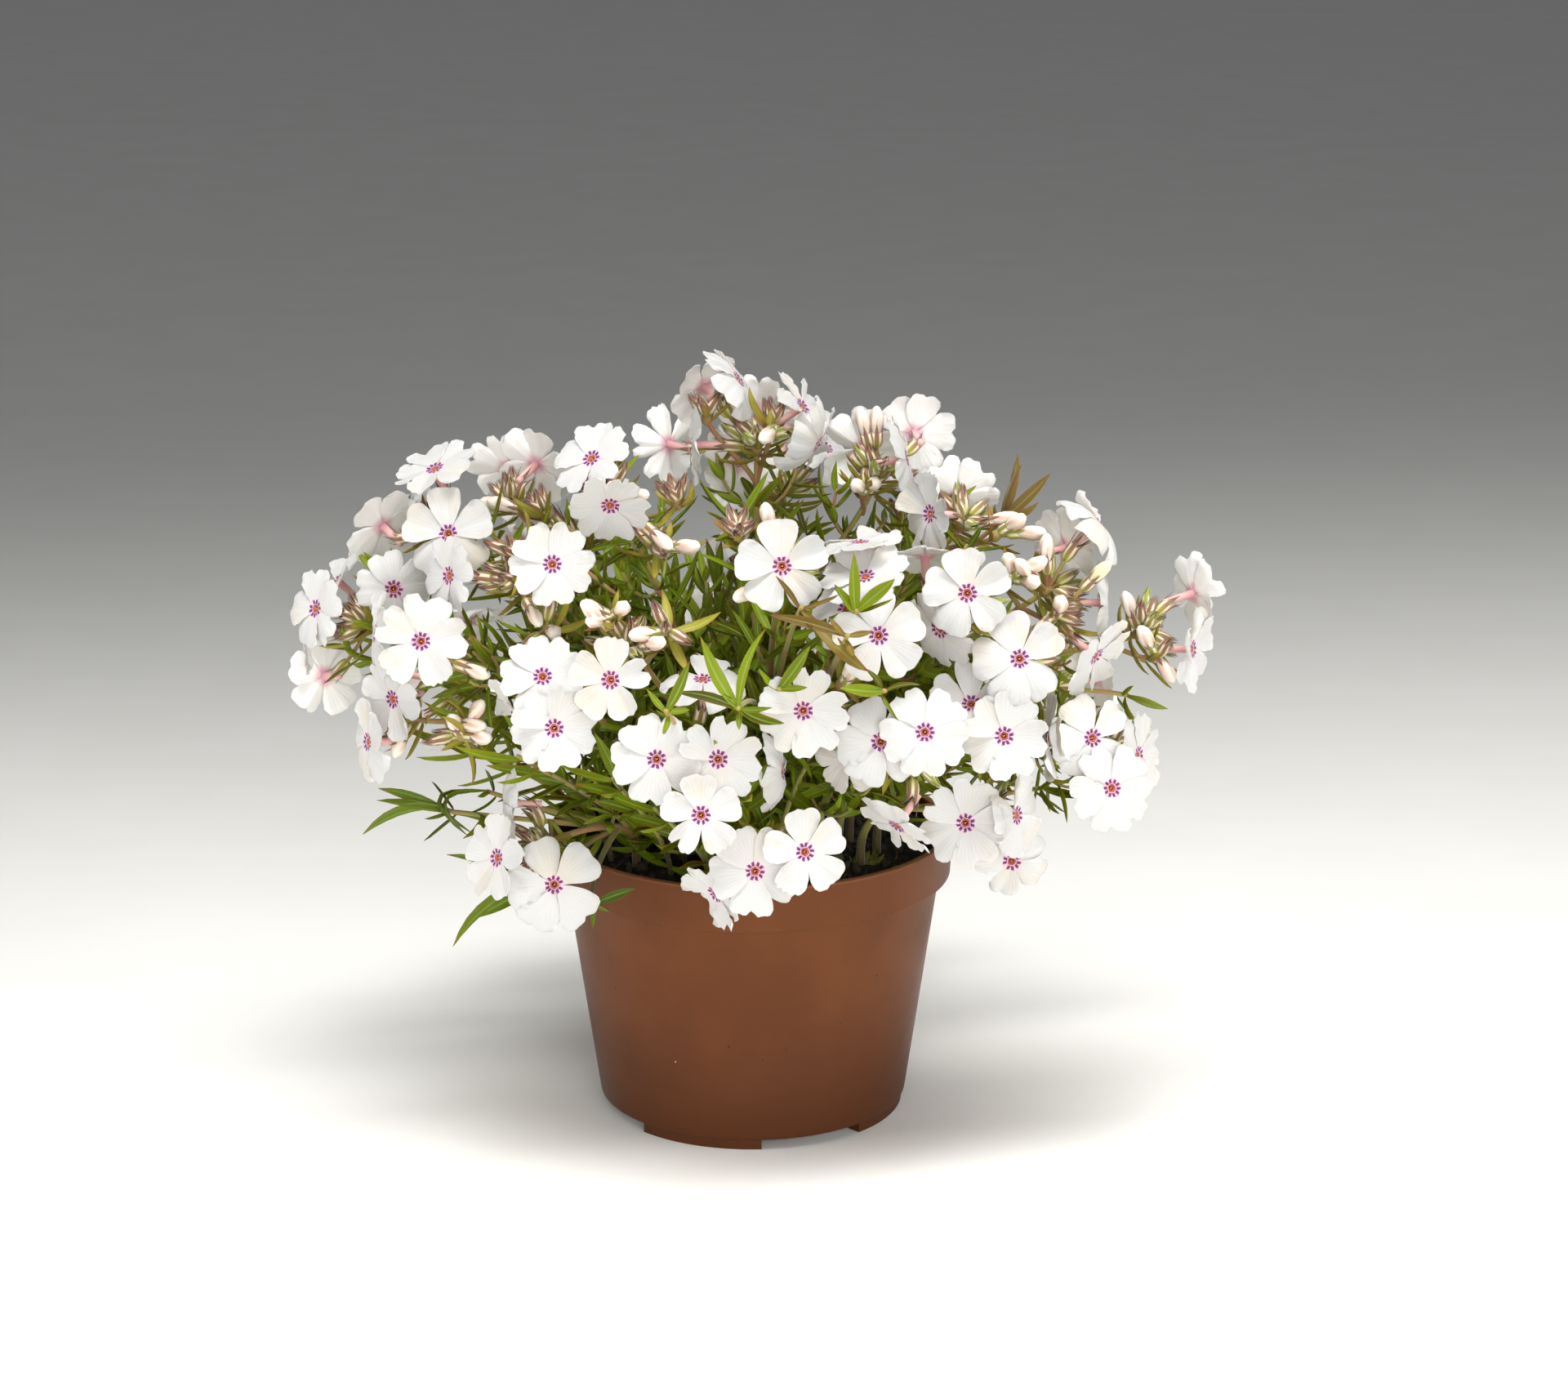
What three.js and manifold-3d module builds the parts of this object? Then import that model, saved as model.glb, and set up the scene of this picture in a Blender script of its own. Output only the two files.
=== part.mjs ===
// Creeping phlox in full bloom, in its moulded plastic nursery pot.
// Millimetres, +Z up. The pot's axis is the Z axis, its feet stand on Z = 0, and the plant's
// fullest side looks towards -Y.
import * as THREE from 'three';
import { mergeVertices } from 'three/addons/utils/BufferGeometryUtils.js';
import Module from 'manifold-3d';

const wasm = await Module();
wasm.setup();

// ---- driving dimensions -------------------------------------------------------------------

const pot = {
  height: 75.3, // surface to the top of the rim
  rimRadius: 52.5, // outside, at the top edge
  collar: 12, // height of the thick band under the rim
  collarDraft: 0.7, // the collar is this much narrower at its lower edge
  shoulderRadius: 49.1, // outside of the body just under the collar
  heelRadius: 40.3, // outside of the body just above the base
  wall: 1.3,
  rimWall: 2.1,
  floor: 1.6,
  edge: 0.6, // small bevels at the rim, collar and heel
  segments: 28,
};

const foot = {
  height: 2.6,
  count: 4,
  startAngle: -45.3, // degrees round from the front, positive to the right
  sweepAngle: 49,
  outerRadius: 39.5,
  innerRadius: 35.6,
  sink: 0.6, // how far a foot runs up into the base it is moulded with
};

const drain = { count: 4, radius: 4, circle: 30, angle: 24, sides: 8 };

const soil = { top: 71.4, edgeTop: 70.2, gap: 0.7, segments: 18, lump: 0.5 };

const corolla = {
  petals: 5,
  petalLength: 10.8,
  throat: -0.5, // the eye sits a little below the petals' face
  thickness: 1.4, // at the neck; a petal is half as thick at its middle
  tubeRadius: 1.15,
  calyxRadius: 1.8,
  calyxMiddle: 9, // below the petals' face
  calyxFoot: 14,
  pedicelRadius: 0.6,
  lengths: [0.94, 1.04], // share of the full length that a petal may reach
  bends: [-1.8, 1.2], // how far its tip may curl back or forward
  twists: [-0.9, 0.9],
};

// A petal's outline from the valley before it: degrees from its middle line, share of its length
// and which way a twist lifts it.
const petalOutline = [
  [-36, 0.34, 0],
  [-25, 0.97, -1],
  [0, 0.92, 0],
  [25, 1, 1],
];

const knob = { radius: 1.5, below: 1.8, above: 1.2, sides: 4, rooting: 0.5 };
const bud = { radius: 1.65, widest: 0.66 };

const stem = {
  footRadius: 1.05,
  tipRadius: 0.75,
  sides: 4,
  steps: 4,
  footDepth: 7,
  clear: 0.35,
  holeRadius: 2,
  straight: 3, // above the soil before it starts to lean
  rise: 0.45, // how strongly it starts upwards and ends along its head's axis
  arrive: 0.3,
  tipGap: 0.3, // between its tip and the knob of its head
  innerFoot: 4, // distance of the feet from the middle: the least, and what may come on top
  footSpread: 34,
};

const fork = { at: 0.3, leave: 0.35, radius: 0.825 };
const shoot = { forkAt: 0.35, bendAt: 0.6, radii: [0.8, 0.75, 0.65], knot: 1 };

const leaf = {
  length: 17,
  lengths: [0.75, 1.15],
  width: 2.7,
  thickness: 0.8,
  spacing: 21.5, // from one pair to the next
  angle: 50,
  quarterTurn: 90,
  scatter: 60,
  clear: 0.35,
  widest: 0.45,
  bow: 0.05,
  firstOnStem: 2,
  firstOnFork: 8,
  tipClear: 3,
};

// The head bases lie on a dome that leans back. They are laid out on a plane across its middle that
// leans by this angle, as an eye in front of it sees them: what stands nearer is drawn in a little.
const view = { lean: 16.2, distance: 1000, middle: new THREE.Vector3(8.3, 0, 110) };
const dome = { across: -2, up: 5, halfWidth: 108, halfRise: 66, halfDrop: 62, depth: 61 };
const crown = new THREE.Vector3(0, 0, 88); // stems and heads spread from round this point
const seatDepth = 17; // from a head's base to the face of a bloom, along the bloom's tube
const backDome = { halfWidth: 92, halfDepth: 68, height: 80 };
const backBloom = { middleTilt: 8, tilts: [46, 64], scatter: 0.4, pedicels: [4, 9] };

// The room that a bloom's face takes up, and the places nearer or further out that it may move to.
const room = {
  radius: 10,
  gap: 1.6,
  parallel: 0.08, // faces that lean apart by less than this sine count as parallel
  neck: 2.5, // where the tube starts behind the face
  stands: [0, 3, -3, 6, -6, 9, -9, 12, -12],
};

// ---- where the heads stand ----------------------------------------------------------------
// at: [across, up] of the head's base on the leaning plane; lift: how far it stands off the dome.
// blooms: [across, up, turn to the right, tip upwards, share of the petals' full length, extra depth].
// buds: [across, up, depth from the head's base] of the bud's tip.

const frontHeads = [
  { name: 'left_crest', at: [-92, 44], lift: 16,
    blooms: [[-90.5, 59, -30, 50], [-87, 42, -10, 10, 1.08], [-104, 44, -140, 30], [-97, 50, -90, 10]],
    buds: [] },
  { name: 'left_out', at: [-107, 18], lift: -2,
    blooms: [[-121.5, 22.5, -45, 5, 0.98], [-124, 16, -80, 0], [-116, 30, -70, 40, 0.95],
      [-119, 5, -150, 0], [-101, 27.5, 10, -10, 0.9]],
    buds: [] },
  { name: 'left_face', at: [-92, 11], lift: 4,
    blooms: [[-94, 14, 0, 0, 1.06], [-106, 16, -75, 10]],
    buds: [[-76, 5, 8]] },
  { name: 'left_heart', at: [-69, 29], lift: -4,
    blooms: [[-87, 31, -50, 0, 0.95], [-60, 34, 0, 5]],
    buds: [[-63, 18, 12]] },
  { name: 'left_low', at: [-96, -6], lift: 2,
    blooms: [[-101.5, -1, -45, -10], [-108, -12, -60, 0]],
    buds: [[-101, -16, 7], [-77, -8, 9]] },
  { name: 'left_high', at: [-45, 52], lift: 2,
    blooms: [[-50, 61.5, -30, 30], [-45, 49, 0, -40, 0.95]],
    buds: [[-35, 52, 10], [-29, 38, 12]] },
  { name: 'left_back', at: [-70, 49], lift: -16,
    blooms: [[-71.5, 59, 180, 40], [-64, 60, 150, 30]],
    buds: [[-79, 50, 4]] },
  { name: 'mid_left', at: [-58, -2], lift: -4,
    blooms: [[-62.5, 5, 0, 20], [-59.5, -8.5, 0, 0], [-70, -5, -80, -30]],
    buds: [[-67, 11, 8]] },
  { name: 'heart_high', at: [-40, 12], lift: -4,
    blooms: [[-45, 4, -15, 0, 0.95]],
    buds: [[-52, 24, 11], [-31, 14, 14]] },
  { name: 'heart', at: [-25, -16], lift: 0,
    blooms: [[-33, -16.5, 0, 0, 1.05], [-17, -16.5, 10, 0], [-21.5, -31, 0, 0, 0.95],
      [-21, 4.5, 0, 60], [0, -19.5, 80, 0, 0.95]],
    buds: [] },
  { name: 'left_skirt', at: [-62, -38], lift: 2,
    blooms: [[-74.5, -42, -20, 0], [-59.5, -49, 0, 0, 1.1], [-73, -28, -85, 0]],
    buds: [] },
  { name: 'low_front', at: [-4, -39], lift: 8,
    blooms: [[-7.5, -45.5, 0, 0, 1.05], [-18, -51.5, -55, -30, 0.9], [5.5, -40.5, 15, 0, 1.02]],
    buds: [] },
  { name: 'core', at: [-1, 30], lift: -2,
    blooms: [[-0.5, 33.5, 0, 0, 1.05]],
    buds: [[-13, 25, 12], [-5, 50, 8]] },
  { name: 'right_heart', at: [24, 20], lift: 0,
    blooms: [[21, 31, -20, 45, 1.05], [19.5, 40, 0, 75], [24.5, 15.5, 0, 0, 1.08], [16, 22.5, -30, 20]],
    buds: [] },
  { name: 'right_upper', at: [46, 23], lift: 1,
    blooms: [[47.5, 26.5, 0, 0], [40, 17, -45, -25, 0.95], [36.5, 36.5, 180, 75]],
    buds: [] },
  { name: 'top_right', at: [46, 44], lift: -12,
    blooms: [[45, 51.5, 180, 50], [37.5, 47, -80, 0]],
    buds: [[61, 46.5, 4]] },
  { name: 'top_back', at: [24, 56], lift: -24,
    blooms: [[20.5, 64, 160, 20], [33.5, 68, -170, 20], [32, 61.5, 80, 10]],
    buds: [[24, 75, 2], [19.5, 74.5, 5]] },
  { name: 'top', at: [-7, 64], lift: -14,
    blooms: [[-24, 65, -85, 0], [-30, 65, -140, 10], [-21, 80, -140, 30], [-11.5, 82, 70, 30],
      [-7, 73, 170, 20], [5, 75, 60, 30], [9, 65, 80, -30], [-12, 60, -160, -10]],
    buds: [] },
  { name: 'right_edge', at: [68, 27], lift: -6,
    blooms: [[82, 45, 80, 40], [73, 38, 130, 10], [84, 24, 85, 0, 0.95], [81, 10, 60, -35]],
    buds: [[68, 42, 6], [60, 35, 12]] },
  { name: 'far_right', at: [92, 16], lift: -14,
    blooms: [[106, 26.5, 120, 15], [106, 12, 65, 0, 1.04]],
    buds: [[88, 27, 4], [101, 3.5, 6]] },
  { name: 'right_face', at: [60, 8], lift: 1,
    blooms: [[61, 9.5, 0, 0, 1.06]],
    buds: [[71, 14, 12]] },
  { name: 'right_low', at: [55, -11], lift: -1,
    blooms: [[57, -10.5, 0, 0, 1.02], [48.5, -2, 0, 30]],
    buds: [] },
  { name: 'right_out', at: [82, -15], lift: -4,
    blooms: [[80, -11, 20, 0], [85, -24, 20, 0], [92, -15.5, 60, 0], [68, -11, -85, 0, 1, 9]],
    buds: [] },
  { name: 'right_skirt', at: [51, -32], lift: 0,
    blooms: [[47, -33, 0, 0, 1.05], [60.5, -31, 55, 0], [59, -43, 5, -15, 0.9, -8]],
    buds: [] },
  { name: 'mid_right', at: [32, -14], lift: -1,
    blooms: [[25, -12, 0, 0], [36.5, -9.5, 0, 0, 1.06], [29, -34, -60, -50, 0.95]],
    buds: [] },
  { name: 'center', at: [7, -5], lift: -1,
    blooms: [[5, -4, 0, -10, 1.06], [11, -17, 0, 5, 0.85, -6]],
    buds: [[9, 5, 12]] },
];

// Heads on the far side: degrees round from the front, degrees up from the crown, blooms.
const backHeads = [
  { name: 'back_right', round: 122, rise: 10, blooms: 3 },
  { name: 'back_low_right', round: 156, rise: 4, blooms: 4 },
  { name: 'back_low_left', round: -158, rise: 6, blooms: 4 },
  { name: 'back_left', round: -124, rise: 10, blooms: 3 },
  { name: 'back_high_right', round: 142, rise: 42, blooms: 3 },
  { name: 'back_middle', round: 180, rise: 22, blooms: 4 },
  { name: 'back_high_left', round: -138, rise: 42, blooms: 3 },
  { name: 'back_top', round: 172, rise: 54, blooms: 3 },
];

// Each stem and the heads it carries: the first on its own tip, the second on a fork.
const stems = [
  ['left_crest'], ['left_out', 'left_low'], ['left_heart', 'left_face'],
  ['left_high', 'left_back'], ['mid_left'], ['heart', 'heart_high'], ['left_skirt'],
  ['low_front'], ['core', 'center'], ['right_heart'], ['right_upper'], ['top_right'],
  ['top', 'top_back'], ['right_edge', 'far_right'], ['right_face', 'right_low'],
  ['right_out'], ['right_skirt'], ['mid_right'], ['back_right', 'back_high_right'],
  ['back_low_right'], ['back_low_left'], ['back_left', 'back_high_left'],
  ['back_middle', 'back_top'],
];

// Leafy shoots with no flowers, forking off a stem: where their tip stands on the leaning plane,
// its depth, and where the tips of the long leaves of its last whorl reach.
const shoots = [
  { on: 'top_right', tip: [56, 45], depth: 26,
    leaves: [[60.5, 62.5, 22], [69, 57.5, 28], [71, 47, 34]] },
  { on: 'left_skirt', tip: [-86, -30], depth: 16,
    leaves: [[-104, -23, 12], [-108.5, -36, 20], [-99, -40, 26], [-87, -45, 22]] },
  { on: 'left_skirt', tip: [-70, -47], depth: 30,
    leaves: [[-85.5, -65, 34], [-84, -56, 24]] },
  { on: 'right_skirt', tip: [66, -24], depth: 24,
    leaves: [[80, -37, 22], [74, -34, 34]] },
  { on: 'right_edge', tip: [90, -2], depth: 4,
    leaves: [[95, -14, 4], [104, -8, 8], [101, 1, -4]] },
  { on: 'core', tip: [-12, 44], depth: 34,
    leaves: [[-22, 56, 36], [-4, 58, 30], [-18, 40, 46]] },
];

// ---- materials ----------------------------------------------------------------------------

const finish = (color, roughness) => new THREE.MeshStandardMaterial({ color, roughness, metalness: 0 });
const potPlastic = finish('#7a4a32', 0.45);
const darkPeat = finish('#1d1a15', 0.95);
const whitePetal = finish('#f6f1ec', 0.6);
const greenLeaf = finish('#4f7a1d', 0.55);

// ---- small helpers ------------------------------------------------------------------------

const degrees = THREE.MathUtils.degToRad;

// The same number between 0 and 1 for the same pair of counts, however often it is asked for.
function chance(a, b) {
  let state = (a * 7919 + b * 104729 + 12345) % 2147483647;
  for (let i = 0; i < 4; i += 1) state = (state * 16807) % 2147483647;
  return state / 2147483647;
}

const between = (low, high, share) => low + (high - low) * share;

// A unit direction on the leaning plane's axes: right, up and towards the eye.
function viewDirection(right, up, near) {
  const lean = degrees(view.lean);
  return new THREE.Vector3(
    right,
    up * Math.sin(lean) - near * Math.cos(lean),
    up * Math.cos(lean) + near * Math.sin(lean),
  );
}

// The point that the eye sees at (across, up) on the leaning plane, standing depth before it.
function viewPoint(across, up, depth) {
  const shrink = 1 - depth / view.distance;
  return viewDirection(across * shrink, up * shrink, depth).add(view.middle);
}

function facingOf(turn, tip) {
  const t = degrees(turn);
  const p = degrees(tip);
  return viewDirection(Math.sin(t) * Math.cos(p), Math.sin(p), Math.cos(t) * Math.cos(p));
}

function domeDepth(across, up) {
  const x = (across - dome.across) / dome.halfWidth;
  const rise = up - dome.up;
  const y = rise / (rise > 0 ? dome.halfRise : dome.halfDrop);
  return dome.depth * Math.sqrt(Math.max(0, 1 - x * x - y * y));
}

// Any unit vector square to the one given.
function squareTo(direction) {
  const pick = Math.abs(direction.z) < 0.9 ? new THREE.Vector3(0, 0, 1) : new THREE.Vector3(1, 0, 0);
  return pick.cross(direction).normalize();
}

function carried(side, from, to) {
  return side.clone().applyQuaternion(new THREE.Quaternion().setFromUnitVectors(from, to));
}

function ringAt(centre, axis, side, radius, sides) {
  const other = new THREE.Vector3().crossVectors(axis, side);
  return Array.from({ length: sides }, (_, i) => {
    const angle = (i / sides) * 2 * Math.PI;
    return centre.clone()
      .addScaledVector(side, radius * Math.cos(angle))
      .addScaledVector(other, radius * Math.sin(angle));
  });
}

// Faces over a row of rings, which may narrow to one point at either end; wider ends are capped.
function skin(rings, openEnd = false) {
  const points = rings.flat();
  const faces = [];
  let start = 0;
  for (let r = 0; r + 1 < rings.length; r += 1) {
    const here = rings[r].length;
    const next = rings[r + 1].length;
    const after = start + here;
    const sides = Math.max(here, next);
    for (let s = 0; s < sides; s += 1) {
      const t = (s + 1) % sides;
      if (here === 1) faces.push([start, after + t, after + s]);
      else if (next === 1) faces.push([start + s, start + t, after]);
      else faces.push([start + s, start + t, after + t], [start + s, after + t, after + s]);
    }
    start = after;
  }
  for (let s = 1; s + 1 < rings[0].length; s += 1) faces.push([0, s + 1, s]);
  const last = rings[rings.length - 1].length;
  for (let s = 1; s + 1 < last && !openEnd; s += 1) faces.push([start, start + s, start + s + 1]);
  return { points, faces };
}

function solidOf({ points, faces }) {
  const vertProperties = new Float32Array(points.flatMap((p) => [p.x, p.y, p.z]));
  const mesh = new wasm.Mesh({ numProp: 3, vertProperties, triVerts: new Uint32Array(faces.flat()) });
  return new wasm.Manifold(mesh);
}

// A three.js geometry as a solid: shared points merged, and triangles that lie on an axis left out.
function solidFrom(geometry) {
  geometry.deleteAttribute('normal');
  geometry.deleteAttribute('uv');
  const merged = mergeVertices(geometry, 1e-4);
  const at = merged.attributes.position;
  const points = Array.from({ length: at.count }, (_, i) => (
    new THREE.Vector3().fromBufferAttribute(at, i)));
  const corners = Array.from(merged.index.array);
  const faces = [];
  for (let i = 0; i < corners.length; i += 3) {
    const [a, b, c] = corners.slice(i, i + 3);
    if (a !== b && b !== c && c !== a) faces.push([a, b, c]);
  }
  return solidOf({ points, faces });
}

const joined = (solids) => solids.reduce((whole, next) => whole.add(next));

function meshFrom(solid, name, material) {
  const { vertProperties, triVerts } = solid.getMesh();
  const geometry = new THREE.BufferGeometry();
  geometry.setAttribute('position', new THREE.BufferAttribute(new Float32Array(vertProperties), 3));
  geometry.setIndex(Array.from(triVerts));
  geometry.computeVertexNormals();
  const mesh = new THREE.Mesh(geometry, material);
  mesh.name = name;
  return mesh;
}

// A round bar along a path, each step with its own radius; its ends are square to the path.
function bar(path, radii, sides, firstAxis, lastAxis) {
  const axes = path.map((_, i) => {
    const before = path[Math.max(i - 1, 0)];
    const after = path[Math.min(i + 1, path.length - 1)];
    return after.clone().sub(before).normalize();
  });
  if (firstAxis) axes[0].copy(firstAxis);
  if (lastAxis) axes[axes.length - 1].copy(lastAxis);
  let side = squareTo(axes[0]);
  return skin(path.map((point, i) => {
    if (i > 0) side = carried(side, axes[i - 1], axes[i]);
    return ringAt(point, axes[i], side, radii[i], sides);
  }));
}

// ---- pot and soil -------------------------------------------------------------------------

// The body wall's outside radius at a height, under the collar.
function bodyRadius(height) {
  const share = (height - foot.height) / (pot.height - pot.collar - foot.height);
  return between(pot.heelRadius, pot.shoulderRadius, share);
}

function potProfile() {
  const collarFoot = pot.height - pot.collar;
  const base = foot.height;
  const inside = base + pot.floor;
  const { edge, wall, rimRadius, rimWall, height } = pot;
  return [
    [0, base],
    [pot.heelRadius - 3 * edge, base],
    [bodyRadius(base + 3 * edge), base + 3 * edge],
    [bodyRadius(collarFoot - edge), collarFoot - edge],
    [rimRadius - pot.collarDraft - edge, collarFoot],
    [rimRadius - pot.collarDraft, collarFoot + edge],
    [rimRadius, height - edge],
    [rimRadius - edge, height],
    [rimRadius - rimWall, height],
    [rimRadius - rimWall - pot.collarDraft, collarFoot + 2 * edge],
    [bodyRadius(collarFoot) - wall, collarFoot - edge],
    [bodyRadius(inside + edge) - wall, inside + edge],
    [bodyRadius(inside) - wall - edge, inside],
    [0, inside],
  ].map(([radius, z]) => new THREE.Vector2(radius, z));
}

// Degrees round from the front become the usual angle from +X.
const fromFront = (angle) => degrees(angle - 90);

function footSolid(index) {
  const start = fromFront(foot.startAngle + (index * 360) / foot.count);
  const end = start + degrees(foot.sweepAngle);
  const outline = new THREE.Shape();
  outline.absarc(0, 0, foot.outerRadius, start, end, false);
  outline.absarc(0, 0, foot.innerRadius, end, start, true);
  const options = { depth: foot.height + foot.sink, bevelEnabled: false, curveSegments: 4 };
  return solidFrom(new THREE.ExtrudeGeometry(outline, options));
}

function drainCutter(index) {
  const angle = fromFront(drain.angle + (index * 360) / drain.count);
  const cutter = new THREE.CylinderGeometry(drain.radius, drain.radius, 4 * pot.floor, drain.sides);
  const x = drain.circle * Math.cos(angle);
  const y = drain.circle * Math.sin(angle);
  cutter.rotateX(Math.PI / 2);
  cutter.translate(x, y, foot.height + pot.floor);
  return solidFrom(cutter);
}

function potSolid() {
  const body = new THREE.LatheGeometry(potProfile(), pot.segments).rotateX(Math.PI / 2);
  let whole = solidFrom(body);
  for (let i = 0; i < foot.count; i += 1) whole = whole.add(footSolid(i));
  for (let i = 0; i < drain.count; i += 1) whole = whole.subtract(drainCutter(i));
  return whole;
}

// The root ball fills the pot; its top is uneven and a little higher in the middle.
function soilSolid(stemFeet) {
  const collarFoot = pot.height - pot.collar;
  const inside = foot.height + pot.floor + soil.gap;
  const neck = collarFoot - 2 * pot.edge;
  const mouth = pot.rimRadius - pot.rimWall - pot.collarDraft - soil.gap;
  const rows = [
    [bodyRadius(inside) - pot.wall - pot.edge - soil.gap, inside, 0],
    [bodyRadius(neck) - pot.wall - soil.gap, neck, 0],
    [mouth, collarFoot + 3 * pot.edge, 0],
    [mouth, soil.edgeTop, 0.3],
    [mouth * 0.8, between(soil.edgeTop, soil.top, 0.6), 1],
    [mouth * 0.4, soil.top + soil.lump, 1],
  ];
  const upright = new THREE.Vector3(0, 0, 1);
  const right = new THREE.Vector3(1, 0, 0);
  const rings = rows.map(([radius, z, unevenness], row) => (
    ringAt(new THREE.Vector3(), upright, right, radius, soil.segments)
      .map((point, i) => point.setZ(z + unevenness * soil.lump * between(-1, 1, chance(row, i))))
  ));
  const first = [new THREE.Vector3(0, 0, inside)];
  const last = [new THREE.Vector3(0, 0, soil.top + soil.lump)];
  let whole = solidOf(skin([first, ...rings, last]));
  for (const place of stemFeet) {
    const depth = 2 * (stem.footDepth + stem.clear);
    const hole = new THREE.CylinderGeometry(stem.holeRadius, stem.holeRadius, depth, stem.sides);
    hole.rotateX(Math.PI / 2);
    hole.translate(place.x, place.y, soil.top);
    whole = whole.subtract(solidFrom(hole));
  }
  return whole;
}

// ---- blooms and buds ----------------------------------------------------------------------

// One bloom as one closed skin: five notched petals, the tube and calyx behind them, and the
// pedicel that bends back to the head's base.
function bloomSkin(bloom, base) {
  const { centre, facing, size, seed } = bloom;
  const side = squareTo(facing).applyAxisAngle(facing, chance(seed, 1) * 2 * Math.PI);
  const step = (2 * Math.PI) / corolla.petals;
  const neckSide = side.clone().applyAxisAngle(facing, step / 2);
  const rings = tubeRings(centre, facing, neckSide, base);
  const { points, faces } = skin(rings, true);
  const neck = points.length - corolla.petals;
  const place = (point) => points.push(point) - 1;
  const onFace = (angle, radius, rise) => centre.clone()
    .addScaledVector(side.clone().applyAxisAngle(facing, angle), radius)
    .addScaledVector(facing, rise);
  const middle = place(onFace(0, 0, corolla.throat));
  const outline = [];
  for (let petal = 0; petal < corolla.petals; petal += 1) {
    const length = corolla.petalLength * size * between(...corolla.lengths, chance(seed, 10 + petal));
    const bend = between(...corolla.bends, chance(seed, 20 + petal));
    const twist = between(...corolla.twists, chance(seed, 30 + petal));
    petalOutline.forEach(([off, share, edge]) => {
      const rise = share * share * bend + edge * twist;
      outline.push(place(onFace(petal * step + degrees(off), length * share, rise)));
    });
  }
  const stride = petalOutline.length;
  outline.forEach((point, i) => {
    const next = outline[(i + 1) % outline.length];
    const half = Math.round((i % stride) / stride);
    const nearest = neck + ((Math.floor(i / stride) + half + corolla.petals - 1) % corolla.petals);
    faces.push([middle, point, next], [nearest, next, point]);
    if (i % stride === stride / 2) {
      const before = neck + ((nearest - neck + corolla.petals - 1) % corolla.petals);
      faces.push([before, nearest, point]);
    }
  });
  return { points, faces };
}

// Rings from the head's base up the pedicel, calyx and tube to the back of the petals.
function tubeRings(centre, facing, neckSide, base) {
  const along = (depth) => centre.clone().addScaledVector(facing, -depth);
  const calyx = along(corolla.calyxMiddle);
  const fromBase = calyx.clone().sub(base).normalize();
  const root = base.clone().addScaledVector(fromBase, knob.rooting);
  const bend = fromBase.clone().add(facing).normalize();
  const calyxSide = carried(neckSide, facing, bend);
  const rootSide = carried(calyxSide, bend, fromBase);
  const neck = along(corolla.thickness - corolla.throat);
  return [
    ringAt(root, fromBase, rootSide, corolla.pedicelRadius, corolla.petals),
    ringAt(calyx, bend, calyxSide, corolla.calyxRadius, corolla.petals),
    ringAt(neck, facing, neckSide, corolla.tubeRadius, corolla.petals),
  ];
}

function budSkin(tip, base) {
  const axis = tip.clone().sub(base).normalize();
  const side = squareTo(axis);
  return skin([
    ringAt(base.clone().addScaledVector(axis, knob.rooting), axis, side, corolla.pedicelRadius, 4),
    ringAt(base.clone().lerp(tip, bud.widest), axis, side, bud.radius, 4),
    [tip],
  ]);
}

// ---- how blooms make room for each other ----------------------------------------------------

// Whether two blooms' faces, taken as flat discs, cut through each other.
function facesCross(a, b) {
  const apart = b.centre.clone().sub(a.centre);
  const line = new THREE.Vector3().crossVectors(a.facing, b.facing);
  const sine = line.length();
  if (apart.length() > 2 * room.radius) return false;
  if (sine < room.parallel) return Math.abs(apart.dot(a.facing)) < room.gap;
  line.divideScalar(sine);
  const fromA = Math.abs(apart.dot(b.facing)) / sine;
  const fromB = Math.abs(apart.dot(a.facing)) / sine;
  if (fromA > room.radius || fromB > room.radius) return false;
  const halfChord = (away) => Math.sqrt(room.radius ** 2 - away ** 2);
  return Math.abs(apart.dot(line)) < halfChord(fromA) + halfChord(fromB);
}

// Whether a tube or bud from one point to another goes through a bloom's face.
function piercesFace(bloom, from, to) {
  const before = from.clone().sub(bloom.centre).dot(bloom.facing);
  const after = to.clone().sub(bloom.centre).dot(bloom.facing);
  if (before * after > 0) return false;
  return from.clone().lerp(to, before / (before - after)).distanceTo(bloom.centre) < room.radius;
}

function tubePoints(bloom) {
  const back = (depth) => bloom.centre.clone().addScaledVector(bloom.facing, -depth);
  return [back(room.neck), back(corolla.calyxFoot), bloom.base];
}

function tubePierces(bloom, other) {
  const [neck, calyx, base] = tubePoints(bloom);
  return piercesFace(other, neck, calyx) || piercesFace(other, calyx, base);
}

const standing = { blooms: [] };

// Of the places that a bloom may take, nearer or further out, the first that cuts the fewest others.
function settledBloom(placeAt) {
  let best = null;
  for (const stand of room.stands) {
    const bloom = placeAt(stand);
    const tubesCross = (other) => tubePierces(bloom, other) || tubePierces(other, bloom);
    const cuts = standing.blooms.filter((other) => facesCross(bloom, other)).length
      + standing.blooms.filter(tubesCross).length;
    if (!best || cuts < best.cuts) best = { bloom, cuts };
  }
  standing.blooms.push(best.bloom);
  return best.bloom;
}

function settledBud(placeAt, base) {
  let best = null;
  for (const stand of room.stands) {
    const tip = placeAt(stand);
    const cuts = standing.blooms.filter((other) => piercesFace(other, base, tip)).length;
    if (!best || cuts < best.cuts) best = { tip, cuts };
  }
  return best.tip;
}

// ---- heads --------------------------------------------------------------------------------

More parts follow.
